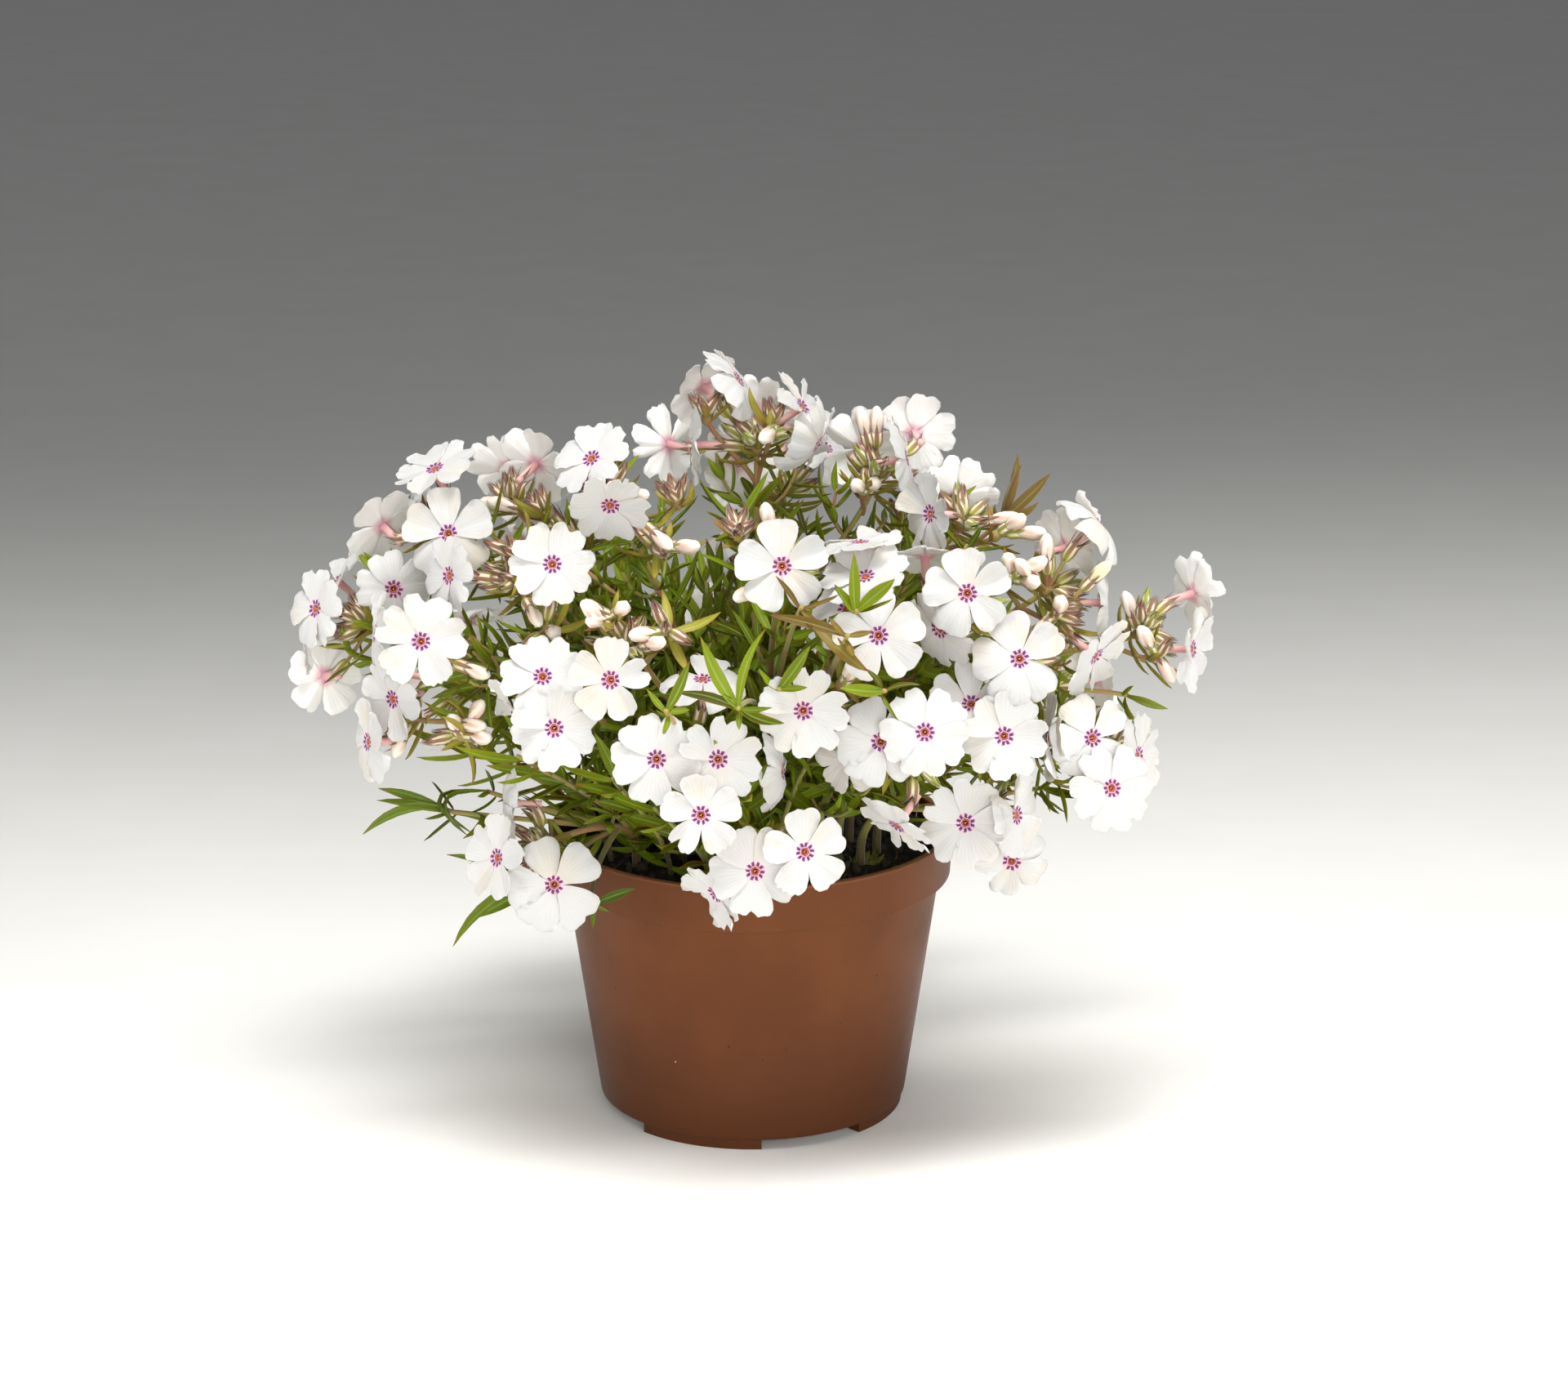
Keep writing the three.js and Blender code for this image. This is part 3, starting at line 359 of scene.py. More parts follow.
# shoots with no flowers: the stem, the tip, its depth, their skin, and where the long leaves of the last
# whorl reach (across, up, depth) with their bow
shoots = (
    ("top_right", (56, 45), 26, "bronze",
     ((60.5, 62.5, 22, 0), (61.5, 60, 30, 0.1), (69, 57.5, 28, 0.05), (66, 50, 34, 0.2))),
    ("left_skirt", (-86, -30), 16, "shaded",
     ((-105, -24, 12, 0.12), (-105.5, -27, 18, 0.06), (-109, -36, 20, -0.16), (-83, -37, 24, 0.9))),
    ("left_skirt", (-76, -25), 18, "shaded", ((-80, -36, 20, -1.3), (-81.5, -36.5, 24, -0.9))),
    ("left_skirt", (-64, -48), 22, "shaded",
     ((-85.6, -65, 30, -0.16), (-87.3, -41.1, 14, 0.12), (-81.8, -58, 20, 0.04))),
    ("left_skirt", (-50, -54), 38, "shaded", ((-38.5, -50, 42, 0.15),)),
    ("right_skirt", (66, -24), 24, "shaded", ((78.2, -26.1, 22, 0.12), (71.2, -30.8, 34, 0.1))),
    ("right_edge", (88, 0), 4, "leaf", ((93.4, -8.8, 4, 0.25), (99.4, -3.5, 6, 0.12))),
    ("core", (-12, 44), 34, "leaf", ((-22, 56, 36, 0.1), (-4, 58, 30, 0.05), (-18, 40, 46, 0.1))),
    ("core", (-11.7, -3.5), 80, "leaf",
     ((-21.8, 15.3, 84, 0.1), (-4.2, 17.7, 84, -0.08), (-28.5, 1, 82, 0.08), (0.2, -7.3, 88, 0.15))),
    ("core", (-1.3, 1.4), 78, "leaf", ((6.8, 12.8, 84, -0.05),)),
    ("core", (4.4, 22.3), 74, "bronze", ((22, 6.2, 92, 0.2),)),
    ("heart", (-30.4, -4.3), 82, "leaf", ((-24.3, 9, 84, 0.05),)),
    ("right_heart", (18.6, 21.5), 78, "leaf",
     ((18, 37.1, 84, 0.02), (28.8, 30.3, 88, 0.1), (12.9, 28.7, 82, 0.05))),
    ("right_heart", (16.3, 15.3), 86, "bronze", ((-3.6, 20.8, 78, 0.06),)),
    ("right_heart", (25.8, 1), 84, "leaf", ((14.4, 1.8, 88, 0.05),)),
)

# How blooms make room for each other

standing = {"centre": [], "facing": [], "base": []}


def facingOf(turn, tip):
    t, p = math.radians(turn), math.radians(tip)
    return viewDirection(math.sin(t) * math.cos(p), math.sin(p), math.cos(t) * math.cos(p))


def domeDepth(across, up):
    x = (across - dome["across"]) / dome["halfWidth"]
    rise = up - dome["up"]
    y = rise / (dome["halfRise"] if rise > 0 else dome["halfDrop"])
    return dome["depth"] * math.sqrt(max(0, 1 - x * x - y * y))


def stood():  # the centres, facings and bases of the blooms so far
    return [np.reshape(rows, (-1, 3)) for rows in standing.values()]


def throughFace(centres, facings, starts, ends):  # which of these straight pieces go through these faces
    before = ((starts - centres) * facings).sum(-1)
    after = ((ends - centres) * facings).sum(-1)
    span = before - after
    share = before / np.where(span == 0, 1, span)
    hit = starts + (ends - starts) * share[..., None]
    return (before * after <= 0) & (np.linalg.norm(hit - centres, axis=-1) < room["radius"])


def facesCross(centre, facing, centres, facings):  # which faces, taken as flat discs, cut through this one
    apart = centres - centre
    line = np.cross(facing, facings)
    sine = np.linalg.norm(line, axis=-1)
    near = np.linalg.norm(apart, axis=-1) <= 2 * room["radius"]
    parallel = sine < room["parallel"]
    safe = np.where(parallel, 1, sine)
    away = [np.abs((apart * facings).sum(-1)) / safe, np.abs(apart @ facing) / safe]
    chords = sum(np.sqrt(np.maximum(0, room["radius"] ** 2 - gap ** 2)) for gap in away)
    touch = np.abs((apart * line).sum(-1)) / safe < chords
    level = parallel & (np.abs(apart @ facing) < room["gap"])
    leaning = ~parallel & (np.max(away, axis=0) <= room["radius"]) & touch
    return near & (level | leaning)


def tubeOf(centre, facing):  # where a bloom's tube leaves its face and where its calyx ends
    return centre - facing * room["neck"], centre - facing * corolla["calyxFoot"]


def settled(placeAt, cutsAt):  # the first of its places that cuts the fewest others
    return min(map(placeAt, room["stands"]), key=cutsAt)


def settledBloom(placeAt, facing, base, size, seed):
    centres, facings, bases = stood()
    necks, calyces = tubeOf(centres, facings)

    def cutsAt(centre):
        neck, calyx = tubeOf(centre, facing)
        mine = throughFace(centres, facings, neck, calyx) | throughFace(centres, facings, calyx, base)
        theirs = throughFace(centre, facing, necks, calyces) | throughFace(centre, facing, calyces, bases)
        return facesCross(centre, facing, centres, facings).sum() + (mine | theirs).sum()

    bloom = {"centre": settled(placeAt, cutsAt), "facing": facing, "base": base, "size": size, "seed": seed}
    for key, rows in standing.items():
        rows.append(bloom[key])
    return bloom


def settledBud(placeAt, base):
    centres, facings = stood()[:2]
    return settled(placeAt, lambda tip: throughFace(centres, facings, base, tip).sum())


def blocked(points):  # whether a path goes through the face of a bloom
    centres, facings = stood()[:2]
    return throughFace(centres, facings, points[:-1, None], points[1:, None]).any()


def placedFrontHead(name, index):
    at, lift, rows, budPlaces = frontHeads[name]
    depth = domeDepth(*at) + lift
    base = viewPoint(*at, depth)
    blooms = []
    for i, row in enumerate(rows):
        x, y, turn, tip, size, extra = (*row, *(1, 0)[len(row) - 4:])
        near = corolla["seatDepth"] * math.cos(math.radians(turn)) * math.cos(math.radians(tip))
        placeAt = lambda stand: viewPoint(x, y, depth + near + extra + stand)
        blooms.append(settledBloom(placeAt, facingOf(turn, tip), base, size, index * 10 + i))
    return {"name": name, "base": base, "axis": unit(base - crown), "blooms": blooms, "depth": depth,
            "budPlaces": budPlaces}


def placedBackHead(name, index):
    turn, lift, count = backHeads[name]
    turn, lift = math.radians(turn), math.radians(lift)
    out = backDome * (math.sin(turn) * math.cos(lift), -math.cos(turn) * math.cos(lift), math.sin(lift))
    base, axis = crown + out, unit(out)
    blooms = []
    for i in range(count):
        seed = 300 + index * 10 + i
        tilt = pick(backBloom["tilts"], seed, 2) if i else backBloom["middleTilt"]
        angle = (i + chance(seed, 3) * backBloom["scatter"]) / (count - 1) * wholeTurn
        facing = tilted(axis, math.radians(tilt), angle)
        reach = corolla["calyxFoot"] + pick(backBloom["pedicels"], seed, 4)
        blooms.append(settledBloom(lambda stand: base + facing * (reach + stand / 2), facing, base, 1, seed))
    return {"name": name, "base": base, "axis": axis, "blooms": blooms, "depth": 0, "budPlaces": ()}


heads = {name: place(name, i) for place, names in ((placedFrontHead, frontHeads), (placedBackHead, backHeads))
         for i, name in enumerate(names)}
for head in heads.values():
    head["buds"] = [settledBud(lambda stand: viewPoint(x, y, head["depth"] + near + stand), head["base"])
                    for x, y, near in head["budPlaces"]]
print("heads placed:", len(heads), "with", len(standing["centre"]), "blooms")

# Petals

petal = {"rows": 9, "columns": 15, "reach": 86, "heel": 0.95, "claw": 1.05, "widths": (0.42, 0.54),
         "shoulder": 0.73, "tips": (0.4, 0.75), "thickness": 0.3, "notches": (0.3, 2.3),
         "notchAside": (-0.2, 0.2), "notchWidths": (0.14, 0.22), "frays": (0.1, 0.32), "frayWaves": (8, 15),
         "lopsided": (-0.08, 0.08), "cups": (-0.8, 1.4), "curls": (-1.8, 1.0), "ripple": 0.42,
         "edgeWaves": 17, "tipWaves": 7, "groove": 0.14, "grooveWidth": 0.13, "swells": (0.92, 1.3),
         "strays": (-9, 9), "pinwheel": 0.62, "throatDip": 0.45, "foldEvery": 4, "folds": (-0.32, 0.42),
         "foldNarrows": 0.18, "reflex": 3.2, "sideways": 0.45, "tones": (0, 0.98)}


def addPetal(work, bloom, number, direction, skin):
    seed, facing = bloom["seed"], bloom["facing"]
    draw = lambda which, limits=(0, 1): pick(limits, seed * 5 + number, 400 + which)
    length = corolla["length"] * bloom["size"] * pick(corolla["lengths"], seed, 10 + number)
    bend, twist = pick(corolla["bends"], seed, 20 + number), pick(corolla["twists"], seed, 30 + number)
    width = length * draw(1, petal["widths"])
    u = np.linspace(0, 1, petal["rows"])[:, None]
    even = np.linspace(-1, 1, petal["columns"])[None]
    even = 0.6 * even + 0.4 * np.sin(even * math.pi / 2)  # columns stand closer towards the edges
    theta = np.arcsin(math.sin(math.radians(petal["reach"])) * even)
    v = np.sin(theta)
    edge = length * (petal["shoulder"] + (1 - petal["shoulder"]) * np.cos(theta) ** draw(17, petal["tips"]))
    notch = np.exp(-((v - draw(2, petal["notchAside"])) / draw(4, petal["notchWidths"])) ** 2)
    fray = draw(5, petal["frays"]) * np.sin(v * draw(6, petal["frayWaves"]) + 9 * draw(7)) * np.cos(theta)
    edge = edge - between(*petal["notches"], draw(3) ** 1.4) * notch + fray
    x = petal["heel"] + (edge - petal["heel"]) * u
    spread = petal["claw"] + (width - petal["claw"]) * np.sin(0.5 * math.pi * u ** draw(15, petal["swells"]))
    y = v * spread * (1 + draw(8, petal["lopsided"]) * np.sign(v))
    z = (bend * u ** 2 + (twist + petal["pinwheel"]) * v * u
         + draw(9, petal["cups"]) * v * v * u + draw(10, petal["curls"]) * u ** 4
         - petal["groove"] * np.exp(-(v / petal["grooveWidth"]) ** 2) * np.sin(math.pi * u ** 0.8)
         + petal["ripple"] * np.abs(v) ** 3 * np.sin(u * petal["edgeWaves"] + 6 * draw(11)) * u
         + 0.5 * petal["ripple"] * u ** 3 * np.sin(v * petal["tipWaves"] + 6 * draw(12)))
    if (seed + number * 3) % petal["foldEvery"] == 0:
        z = z + draw(13, petal["folds"]) * np.abs(v) ** 1.5 * width * u
        y = y * (1 - petal["foldNarrows"] * u)
    # a bloom that is seen edge on bends its petals back
    aside = max(0, 1 - abs(facing @ viewDirection(0, 0, 1)) / petal["sideways"])
    z = z - petal["throatDip"] * (1 - u) ** 4 - petal["reflex"] * aside * u ** 1.6
    direction = turned(direction, facing, math.radians(draw(16, petal["strays"])))
    middle = (bloom["centre"] + x[..., None] * direction + y[..., None] * cross(facing, direction)
              + z[..., None] * facing)
    half = facing * petal["thickness"] / 2
    addSheet(work, middle + half, middle - half, placeOf(x, y, draw(14, petal["tones"])), skin)


# Corolla tube with its throat, and the anthers in it

throat = {"mouth": 6, "sides": 12,  # rings are (radius, height); from the mouth's on they are its inside
          "rings": ((0.85, -10), (0.95, -6), (1.0, -2.5), (1.12, -0.85), (1.16, -0.5), (0.92, -0.38),
                    (0.66, -0.55), (0.6, -1.2), (0.55, -4))}
anther = {"count": 4, "length": 1.1, "radius": 0.2, "circle": 0.22, "tops": (-0.3, -0.6), "sides": 7,
          "profile": ((0, 0.4), (0.3, 1), (0.7, 0.95), (1, 0.35))}


def addThroat(work, bloom, skin):
    facing = bloom["facing"]
    side = sideOf(facing)
    radius, height = np.array(throat["rings"]).T[..., None]
    row = np.arange(len(height))[:, None]
    angle = np.arange(throat["sides"]) / throat["sides"] * wholeTurn
    rings = circled(bloom["centre"] + facing * height[..., None], side, cross(facing, side), radius, angle)
    addRings(work, rings, placeOf(height, row >= throat["mouth"], row == throat["mouth"] - 1), skin)


def addAnthers(work, bloom, skin):
    facing, seed = bloom["facing"], bloom["seed"]
    shares, sizes = np.array(anther["profile"]).T
    for i in range(anther["count"]):
        out = sideOf(facing, 6 * chance(seed, 42) + i * golden) * anther["circle"] * (i > 0)
        top = bloom["centre"] + out + facing * pick(anther["tops"], seed, 43 + i)
        points = top - facing * anther["length"] * (1 - shares[:, None])
        addTube(work, points, anther["radius"] * sizes, anther["sides"], skin, variant=chance(i, 44))


# Calyces: five narrow ribbed teeth with pale skin between them

calyx = {"teeth": 5, "columns": 4, "closedColumns": 2, "wall": 0.22, "rib": 0.07, "depths": (5, 8.8, 13.5),
         "outer": (0, 0.1, 0.3, 0.5, 0.75, 1), "inner": (0.75, 0.45, 0.2), "toothEdge": 0.78,
         "uneven": (-0.7, 0.7), "radii": (1.5, 1.62, 1.05, 0.5), "spreads": (1.9, 2.7)}


def addCalyx(work, line, depths, spread, seed, skin, each=calyx["columns"]):
    # depths, from the far end of the line: the teeth's tips, the valleys between them, the foot
    tip, valley, foot = depths
    column = np.arange(each * calyx["teeth"])
    uneven = np.array([pick(calyx["uneven"], seed, 60 + i) for i in range(calyx["teeth"])])
    phase = 2 - np.abs(column % each * 4 // each - 2)  # 0 along a tooth's middle, 2 in a valley
    top = np.choose(phase, (tip, between(tip, valley, calyx["toothEdge"]), valley))
    top = top + np.where(phase == 0, uneven[column // each], 0)
    share = np.array(calyx["outer"] + calyx["inner"])[:, None]
    depth = foot + (top - foot) * share
    depths = (tip, between(tip, valley, 0.5), valley, between(valley, foot, 0.6), foot - 0.4, foot)
    neck = between(spread, calyx["radii"][0], 0.6)
    radius = np.interp(depth, depths, (spread, neck, *calyx["radii"]))
    inside = np.arange(len(share))[:, None] >= len(calyx["outer"])
    radius = radius * (1 + calyx["rib"] * np.cos(phase / 2 * math.pi)) - calyx["wall"] * inside
    angle = np.broadcast_to(column / len(column) * wholeTurn, depth.shape)
    spots = (pointsAt(line, line["run"][-1] - depth, key) for key in ("points", "side", "other"))
    place = placeOf((foot - depth) / (foot - tip), phase / 2, chance(seed, 66))
    addRings(work, circled(*spots, radius, angle), place, skin)


# Buds: furled petals in a calyx

bud = {"length": 8.8, "radius": 1.85, "sizes": (0.88, 1.08), "depths": (4.2, 7.2, 10.8), "room": 11.5,
       "clear": 2.3, "bows": (-1.2, 1.2), "calyxSpread": 1.75, "sides": 15, "stalk": (0.5, 0.55), "spin": 0.2,
       "ridges": 0.09,
       "profile": ((0, 0.12), (0.06, 0.5), (0.2, 0.86), (0.38, 1), (0.6, 0.9), (0.8, 0.62), (1, 0.45))}


def addBud(work, base, tip, seed, skins):
    bow = sideOf(unit(tip - base)) * pick(bud["bows"], seed, 1)
    line = lineOf(bezier(base, base + (tip - base) * 0.3 + bow, base + (tip - base) * 0.6 + bow, tip, 20))
    length = line["run"][-1]
    scale = min(1, length / bud["room"])
    shares, sizes = np.array(bud["profile"])[::-1].T
    points = pointsAt(line, length - bud["length"] * scale * shares)
    addTube(work, points, bud["radius"] * pick(bud["sizes"], seed, 2) * sizes, bud["sides"], skins["bud"],
            variant=chance(seed, 3), lobes=corolla["petals"], lobeDepth=bud["ridges"], spin=bud["spin"])
    addCalyx(work, line, [depth * scale for depth in bud["depths"]], bud["calyxSpread"], seed, skins["calyx"])
    stalk = pointsAt(line, np.linspace(0, length - (bud["depths"][2] - 0.5) * scale, 6))
    addTube(work, stalk, np.linspace(*bud["stalk"], 6), 6, skins["stalk"], variant=chance(seed, 4))


def budBody(base, tip):  # points down the middle of a bud's furled petals
    way = tip - base
    reach = math.sqrt(way @ way)
    length = bud["length"] * min(1, reach / bud["room"])
    return tip - way / reach * length * np.linspace(0.05, 0.95, 6)[:, None]


def inBud(points, bodies):  # whether a path runs into a bud
    return any(np.linalg.norm(points[3:, None] - body, axis=-1).min() < bud["clear"] for body in bodies)


# Leaves

blade = {"rows": 8, "across": (-1, 0, 1), "thickness": 0.42, "keel": 0.24, "tones": (0, 0.98),
         "along": (0, 0.1, 0.25, 0.45, 0.65, 0.8, 0.92, 1),
         "wide": (0.35, 0.55, 0.85, 1, 0.88, 0.62, 0.3, 0.04)}


def leafLine(root, tip, upper, bow, sway=0):
    run = tip - root
    across = unit(cross(upper, run))
    sag = (across * sway - cross(unit(run), across) * bow) * math.sqrt(run @ run)
    return bezier(root, root + run / 3 + sag, root + run * 2 / 3 + sag, tip, blade["rows"]), across


def addLeaf(work, root, tip, upper, width, bow, twist, variant, skin, sway=0):
    points, across = leafLine(root, tip, upper, bow, sway)
    lift = np.cross(waysAlong(points), across)
    t = np.linspace(0, 1, blade["rows"])
    turn = (twist * t)[:, None]
    sideways = across * np.cos(turn) + lift * np.sin(turn)
    upwards = (lift * np.cos(turn) - across * np.sin(turn))[:, None]
    v = np.array(blade["across"])[None, :, None]
    half = (np.interp(t, blade["along"], blade["wide"]) * width / 2)[:, None, None]
    rise = blade["keel"] * width * np.abs(v) * half / (width / 2)
    middle = points[:, None] + sideways[:, None] * v * half + upwards * rise
    thick = upwards * (1 - 0.5 * np.abs(v)) * blade["thickness"] / 2
    place = placeOf(t[:, None], v[..., 0], between(*blade["tones"], variant))
    addSheet(work, middle + thick, middle - thick, place, skin)


# Flower heads: blooms, buds, closed calyces and small leaves on one knot

flowerHead = {"knot": (0.5, 1.35, 1.5, 1.3, 0.5), "knotFoot": -2.2, "knotTop": 1.6, "stalk": 0.52,
              "closed": (8, 12), "closedLengths": (9.5, 14), "closedTilts": (14, 76), "closedSpread": 0.25,
              "closedStalk": 0.48, "valley": 4, "foot": 8.6, "bracts": 11, "bractLengths": (8, 15),
              "bractTilts": (40, 96), "bractWidths": (1.92, 2.88), "bractRound": 4.5,
              "bractRoots": (0.5, 3.5), "bractBows": (-0.02, 0.22), "bractTwists": (-0.5, 0.5),
              "sideLift": 3, "sideLengths": (7.5, 11), "sideBracts": 5, "sideFrom": 10,
              "sideStalk": (0.75, 0.62)}


def bloomLine(bloom):  # from the head's knot, up the bent stalk and straight into the tube
    base = bloom["base"]
    hip, elbow, neck, mouth, face = (bloom["centre"] - bloom["facing"] * down for down in (9, 9.5, 5, 2.5, 0))
    return lineOf(np.concatenate((bezier(base, base + (hip - base) * 0.5, elbow, neck, 18), [mouth, face])))


def addKnot(work, base, axis, seed, closed, lengths, bracts, bodies, skins):
    # a knot with closed calyces and small leaves round it
    heights = np.linspace(flowerHead["knotFoot"], flowerHead["knotTop"], 5)[:, None]
    addTube(work, base + axis * heights, flowerHead["knot"], 8, skins["stalk"])
    for i in range(closed):
        tilt = math.radians(pick(flowerHead["closedTilts"], seed + i, 6))
        way = tilted(axis, tilt, (i + 0.5 * chance(seed + i, 7)) * golden)
        tip = base + way * pick(lengths, seed + i, 8)
        points = bezier(base, base + (way + axis) * 2, tip - (way * 2 + axis) * 1.4, tip, 12)
        if not blocked(points) and not inBud(points, bodies):
            line = lineOf(points)
            foot = min(flowerHead["foot"], line["run"][-1] - 0.8)
            addCalyx(work, line, (0, flowerHead["valley"], foot), flowerHead["closedSpread"], seed + i,
                     skins["calyx"], calyx["closedColumns"])
            runs = np.linspace(0, line["run"][-1] - foot + 0.4, 4)
            addTube(work, pointsAt(line, runs), flowerHead["closedStalk"], 6, skins["stalk"])
    for i in range(bracts):
        tilt = math.radians(pick(flowerHead["bractTilts"], seed + i, 9))
        way = tilted(axis, tilt, (i + 0.6 * chance(seed + i, 10)) * wholeTurn / flowerHead["bractRound"])
        root = base - axis * between(*flowerHead["bractRoots"], i / bracts)
        tip = root + way * pick(flowerHead["bractLengths"], seed + i, 11)
        bow, width, twist = (pick(flowerHead[key], seed + i, which) for key, which in (
            ("bractBows", 12), ("bractWidths", 13), ("bractTwists", 14)))
        if not blocked(leafLine(root, tip, axis, bow)[0][::2]):
            addLeaf(work, root, tip, axis, width, bow, twist, chance(seed + i, 15), skins["bract"])


def addBloom(work, bloom, skins):
    facing, seed = bloom["facing"], bloom["seed"]
    for number in range(corolla["petals"]):
        direction = sideOf(facing, (chance(seed, 1) + number / corolla["petals"]) * wholeTurn)
        addPetal(work, bloom, number, direction, skins["petal"])
    addThroat(work, bloom, skins["tube"])
    addAnthers(work, bloom, skins["anther"])
    line = bloomLine(bloom)
    addCalyx(work, line, calyx["depths"], pick(calyx["spreads"], seed, 45), seed, skins["calyx"])
    runs = np.linspace(0, line["run"][-1] - calyx["depths"][2] + 0.6, 8)
    addTube(work, pointsAt(line, runs), flowerHead["stalk"], 7, skins["stalk"], variant=chance(seed, 46))


def buildHead(head, skins):
    work = newWork()
    base, axis, depth = head["base"], head["axis"], head["depth"]
    for bloom in head["blooms"]:
        addBloom(work, bloom, skins)
    seed = 700 + 40 * list(heads).index(head["name"])
    knots = []
    for across, up, closed, tips in sideKnots.get(head["name"], ()):
        spot = viewPoint(across, up, depth + flowerHead["sideLift"])
        knots.append((spot, closed, [settledBud(lambda stand: viewPoint(x, y, depth + near + stand), spot)
                                     for x, y, near in tips]))
    bodies = [budBody(spot, tip) for spot, _, tips in ((base, 0, head["buds"]), *knots) for tip in tips]
    for i, tip in enumerate(head["buds"]):
        addBud(work, base, tip, seed + i, skins)
    addKnot(work, base, axis, seed, round(pick(flowerHead["closed"], seed, 5)), flowerHead["closedLengths"],
            flowerHead["bracts"], bodies, skins)
    for i, (spot, closed, tips) in enumerate(knots):
        way = unit(spot - crown)
        start = base - axis * flowerHead["sideFrom"]
        addTube(work, bezier(start, start + axis * 4, spot - way * 5, spot, 10),
                np.linspace(*flowerHead["sideStalk"], 10), 7, skins["stalk"], variant=chance(seed, 47 + i))
        addKnot(work, spot, way, seed + 17 * (i + 1), closed, flowerHead["sideLengths"],
                flowerHead["sideBracts"], bodies, skins)
        for k, tip in enumerate(tips):
            addBud(work, spot, tip, seed + 23 * i + k + 5, skins)
    return work


# Stems with their leaves

stem = {"footRadius": 1.1, "tipRadius": 0.72, "straight": 3, "rise": 0.45, "arrive": 0.3, "innerFoot": 4,
        "footSpread": 34, "tipGap": 2.1, "buried": 6, "soilTop": 71.4, "steps": 24, "sides": 8, "forkAt": 0.3,
        "forkLeave": 0.35, "forkRadius": 0.82, "shootAt": 0.35, "shootBend": 0.6, "leafSteps": 5,
        "forkLeafSteps": 4}
leafing = {"spacing": 21.5, "pairs": 3, "firstOnStem": 2, "firstOnFork": 8, "tipClear": 3, "quarterTurn": 90,
           "scatter": 60, "angle": 50, "angles": (25, 75), "length": 17, "lengths": (0.8, 1.3), "width": 3.0,
           "widths": (0.85, 1.15), "twists": (-0.9, 0.9), "bows": (-0.06, 0.2), "sways": (-0.1, 0.1)}
tuft = {"count": 3, "lengths": (4.5, 8.5), "aside": 0.6, "ahead": 0.8, "width": 1.5}
sideShoot = {"every": 2, "lengths": (9, 22), "aside": 0.62, "ahead": 0.6, "lift": 0.2, "radii": (0.5, 0.38),
             "steps": 8, "spacing": 3.6, "leaves": (7, 14), "tilts": (28, 66), "width": 2.0, "scatter": 0.7}
longShoot = {"radii": (0.8, 0.6), "steps": 16, "width": 3.1, "small": 3, "smallWidth": 1.6, "ahead": (1, 7),
             "aside": (5, 9)}
opening = {"across": (5, 39), "up": (-50, -32.5)}  # leaves leave the peat open here, at the front


def stemFoot(names):
    mean = sum(heads[name]["base"] for name in names) / len(names)
    reach = math.hypot(mean[0], mean[1])
    share = reach / math.hypot(reach, mean[2] - stem["soilTop"])
    return mean[:2] / reach * (stem["innerFoot"] + stem["footSpread"] * share * share)


def curveTo(head, start, way, leave):  # it leaves its start one way and comes up under a head
    tip = head["base"] - head["axis"] * stem["tipGap"]
    reach = np.linalg.norm(tip - start)
    return start, start + way * reach * leave, tip - head["axis"] * reach * stem["arrive"], tip


def forkCurve(curve, head):
    t = stem["forkAt"]
    a, b, c, d = curve
    way = unit((1 - t) ** 2 * (b - a) + 2 * (1 - t) * t * (c - b) + t * t * (d - c))
    return curveTo(head, bezierAt(curve, t), way, stem["forkLeave"])


def inOpening(points):
    away = points - view["middle"]
    shrink = 1 - away @ viewDirection(0, 0, 1) / view["distance"]
    across, up = away[:, 0] / shrink, away @ viewDirection(0, 1, 0) / shrink
    (left, right), (low, high) = opening["across"], opening["up"]
    return ((across > left) & (across < right) & (up > low) & (up < high)).any()


def addLeafIfClear(work, root, tip, upper, width, seed, skin, bow=None, within=None):
    bow = pick(leafing["bows"], seed, 21) if bow is None else bow
    sway = pick(leafing["sways"], seed, 25)
    points = leafLine(root, tip, upper, bow, sway)[0]
    if inOpening(points) or blocked(points[::2]):
        return
    if within:  # it stays inside the pot's wall or over its rim, and out of the soil
        out, height = np.hypot(points[:, 0], points[:, 1]), points[:, 2]
        inside = (out < within["mouth"]) | (height > within["top"])
        if not inside.all() or (height[out < within["mouth"]] < within["soil"])[1:].any():
            return
    addLeaf(work, root, tip, upper, width * pick(leafing["widths"], seed, 22), bow,
            pick(leafing["twists"], seed, 23), chance(seed, 24), skin, sway)


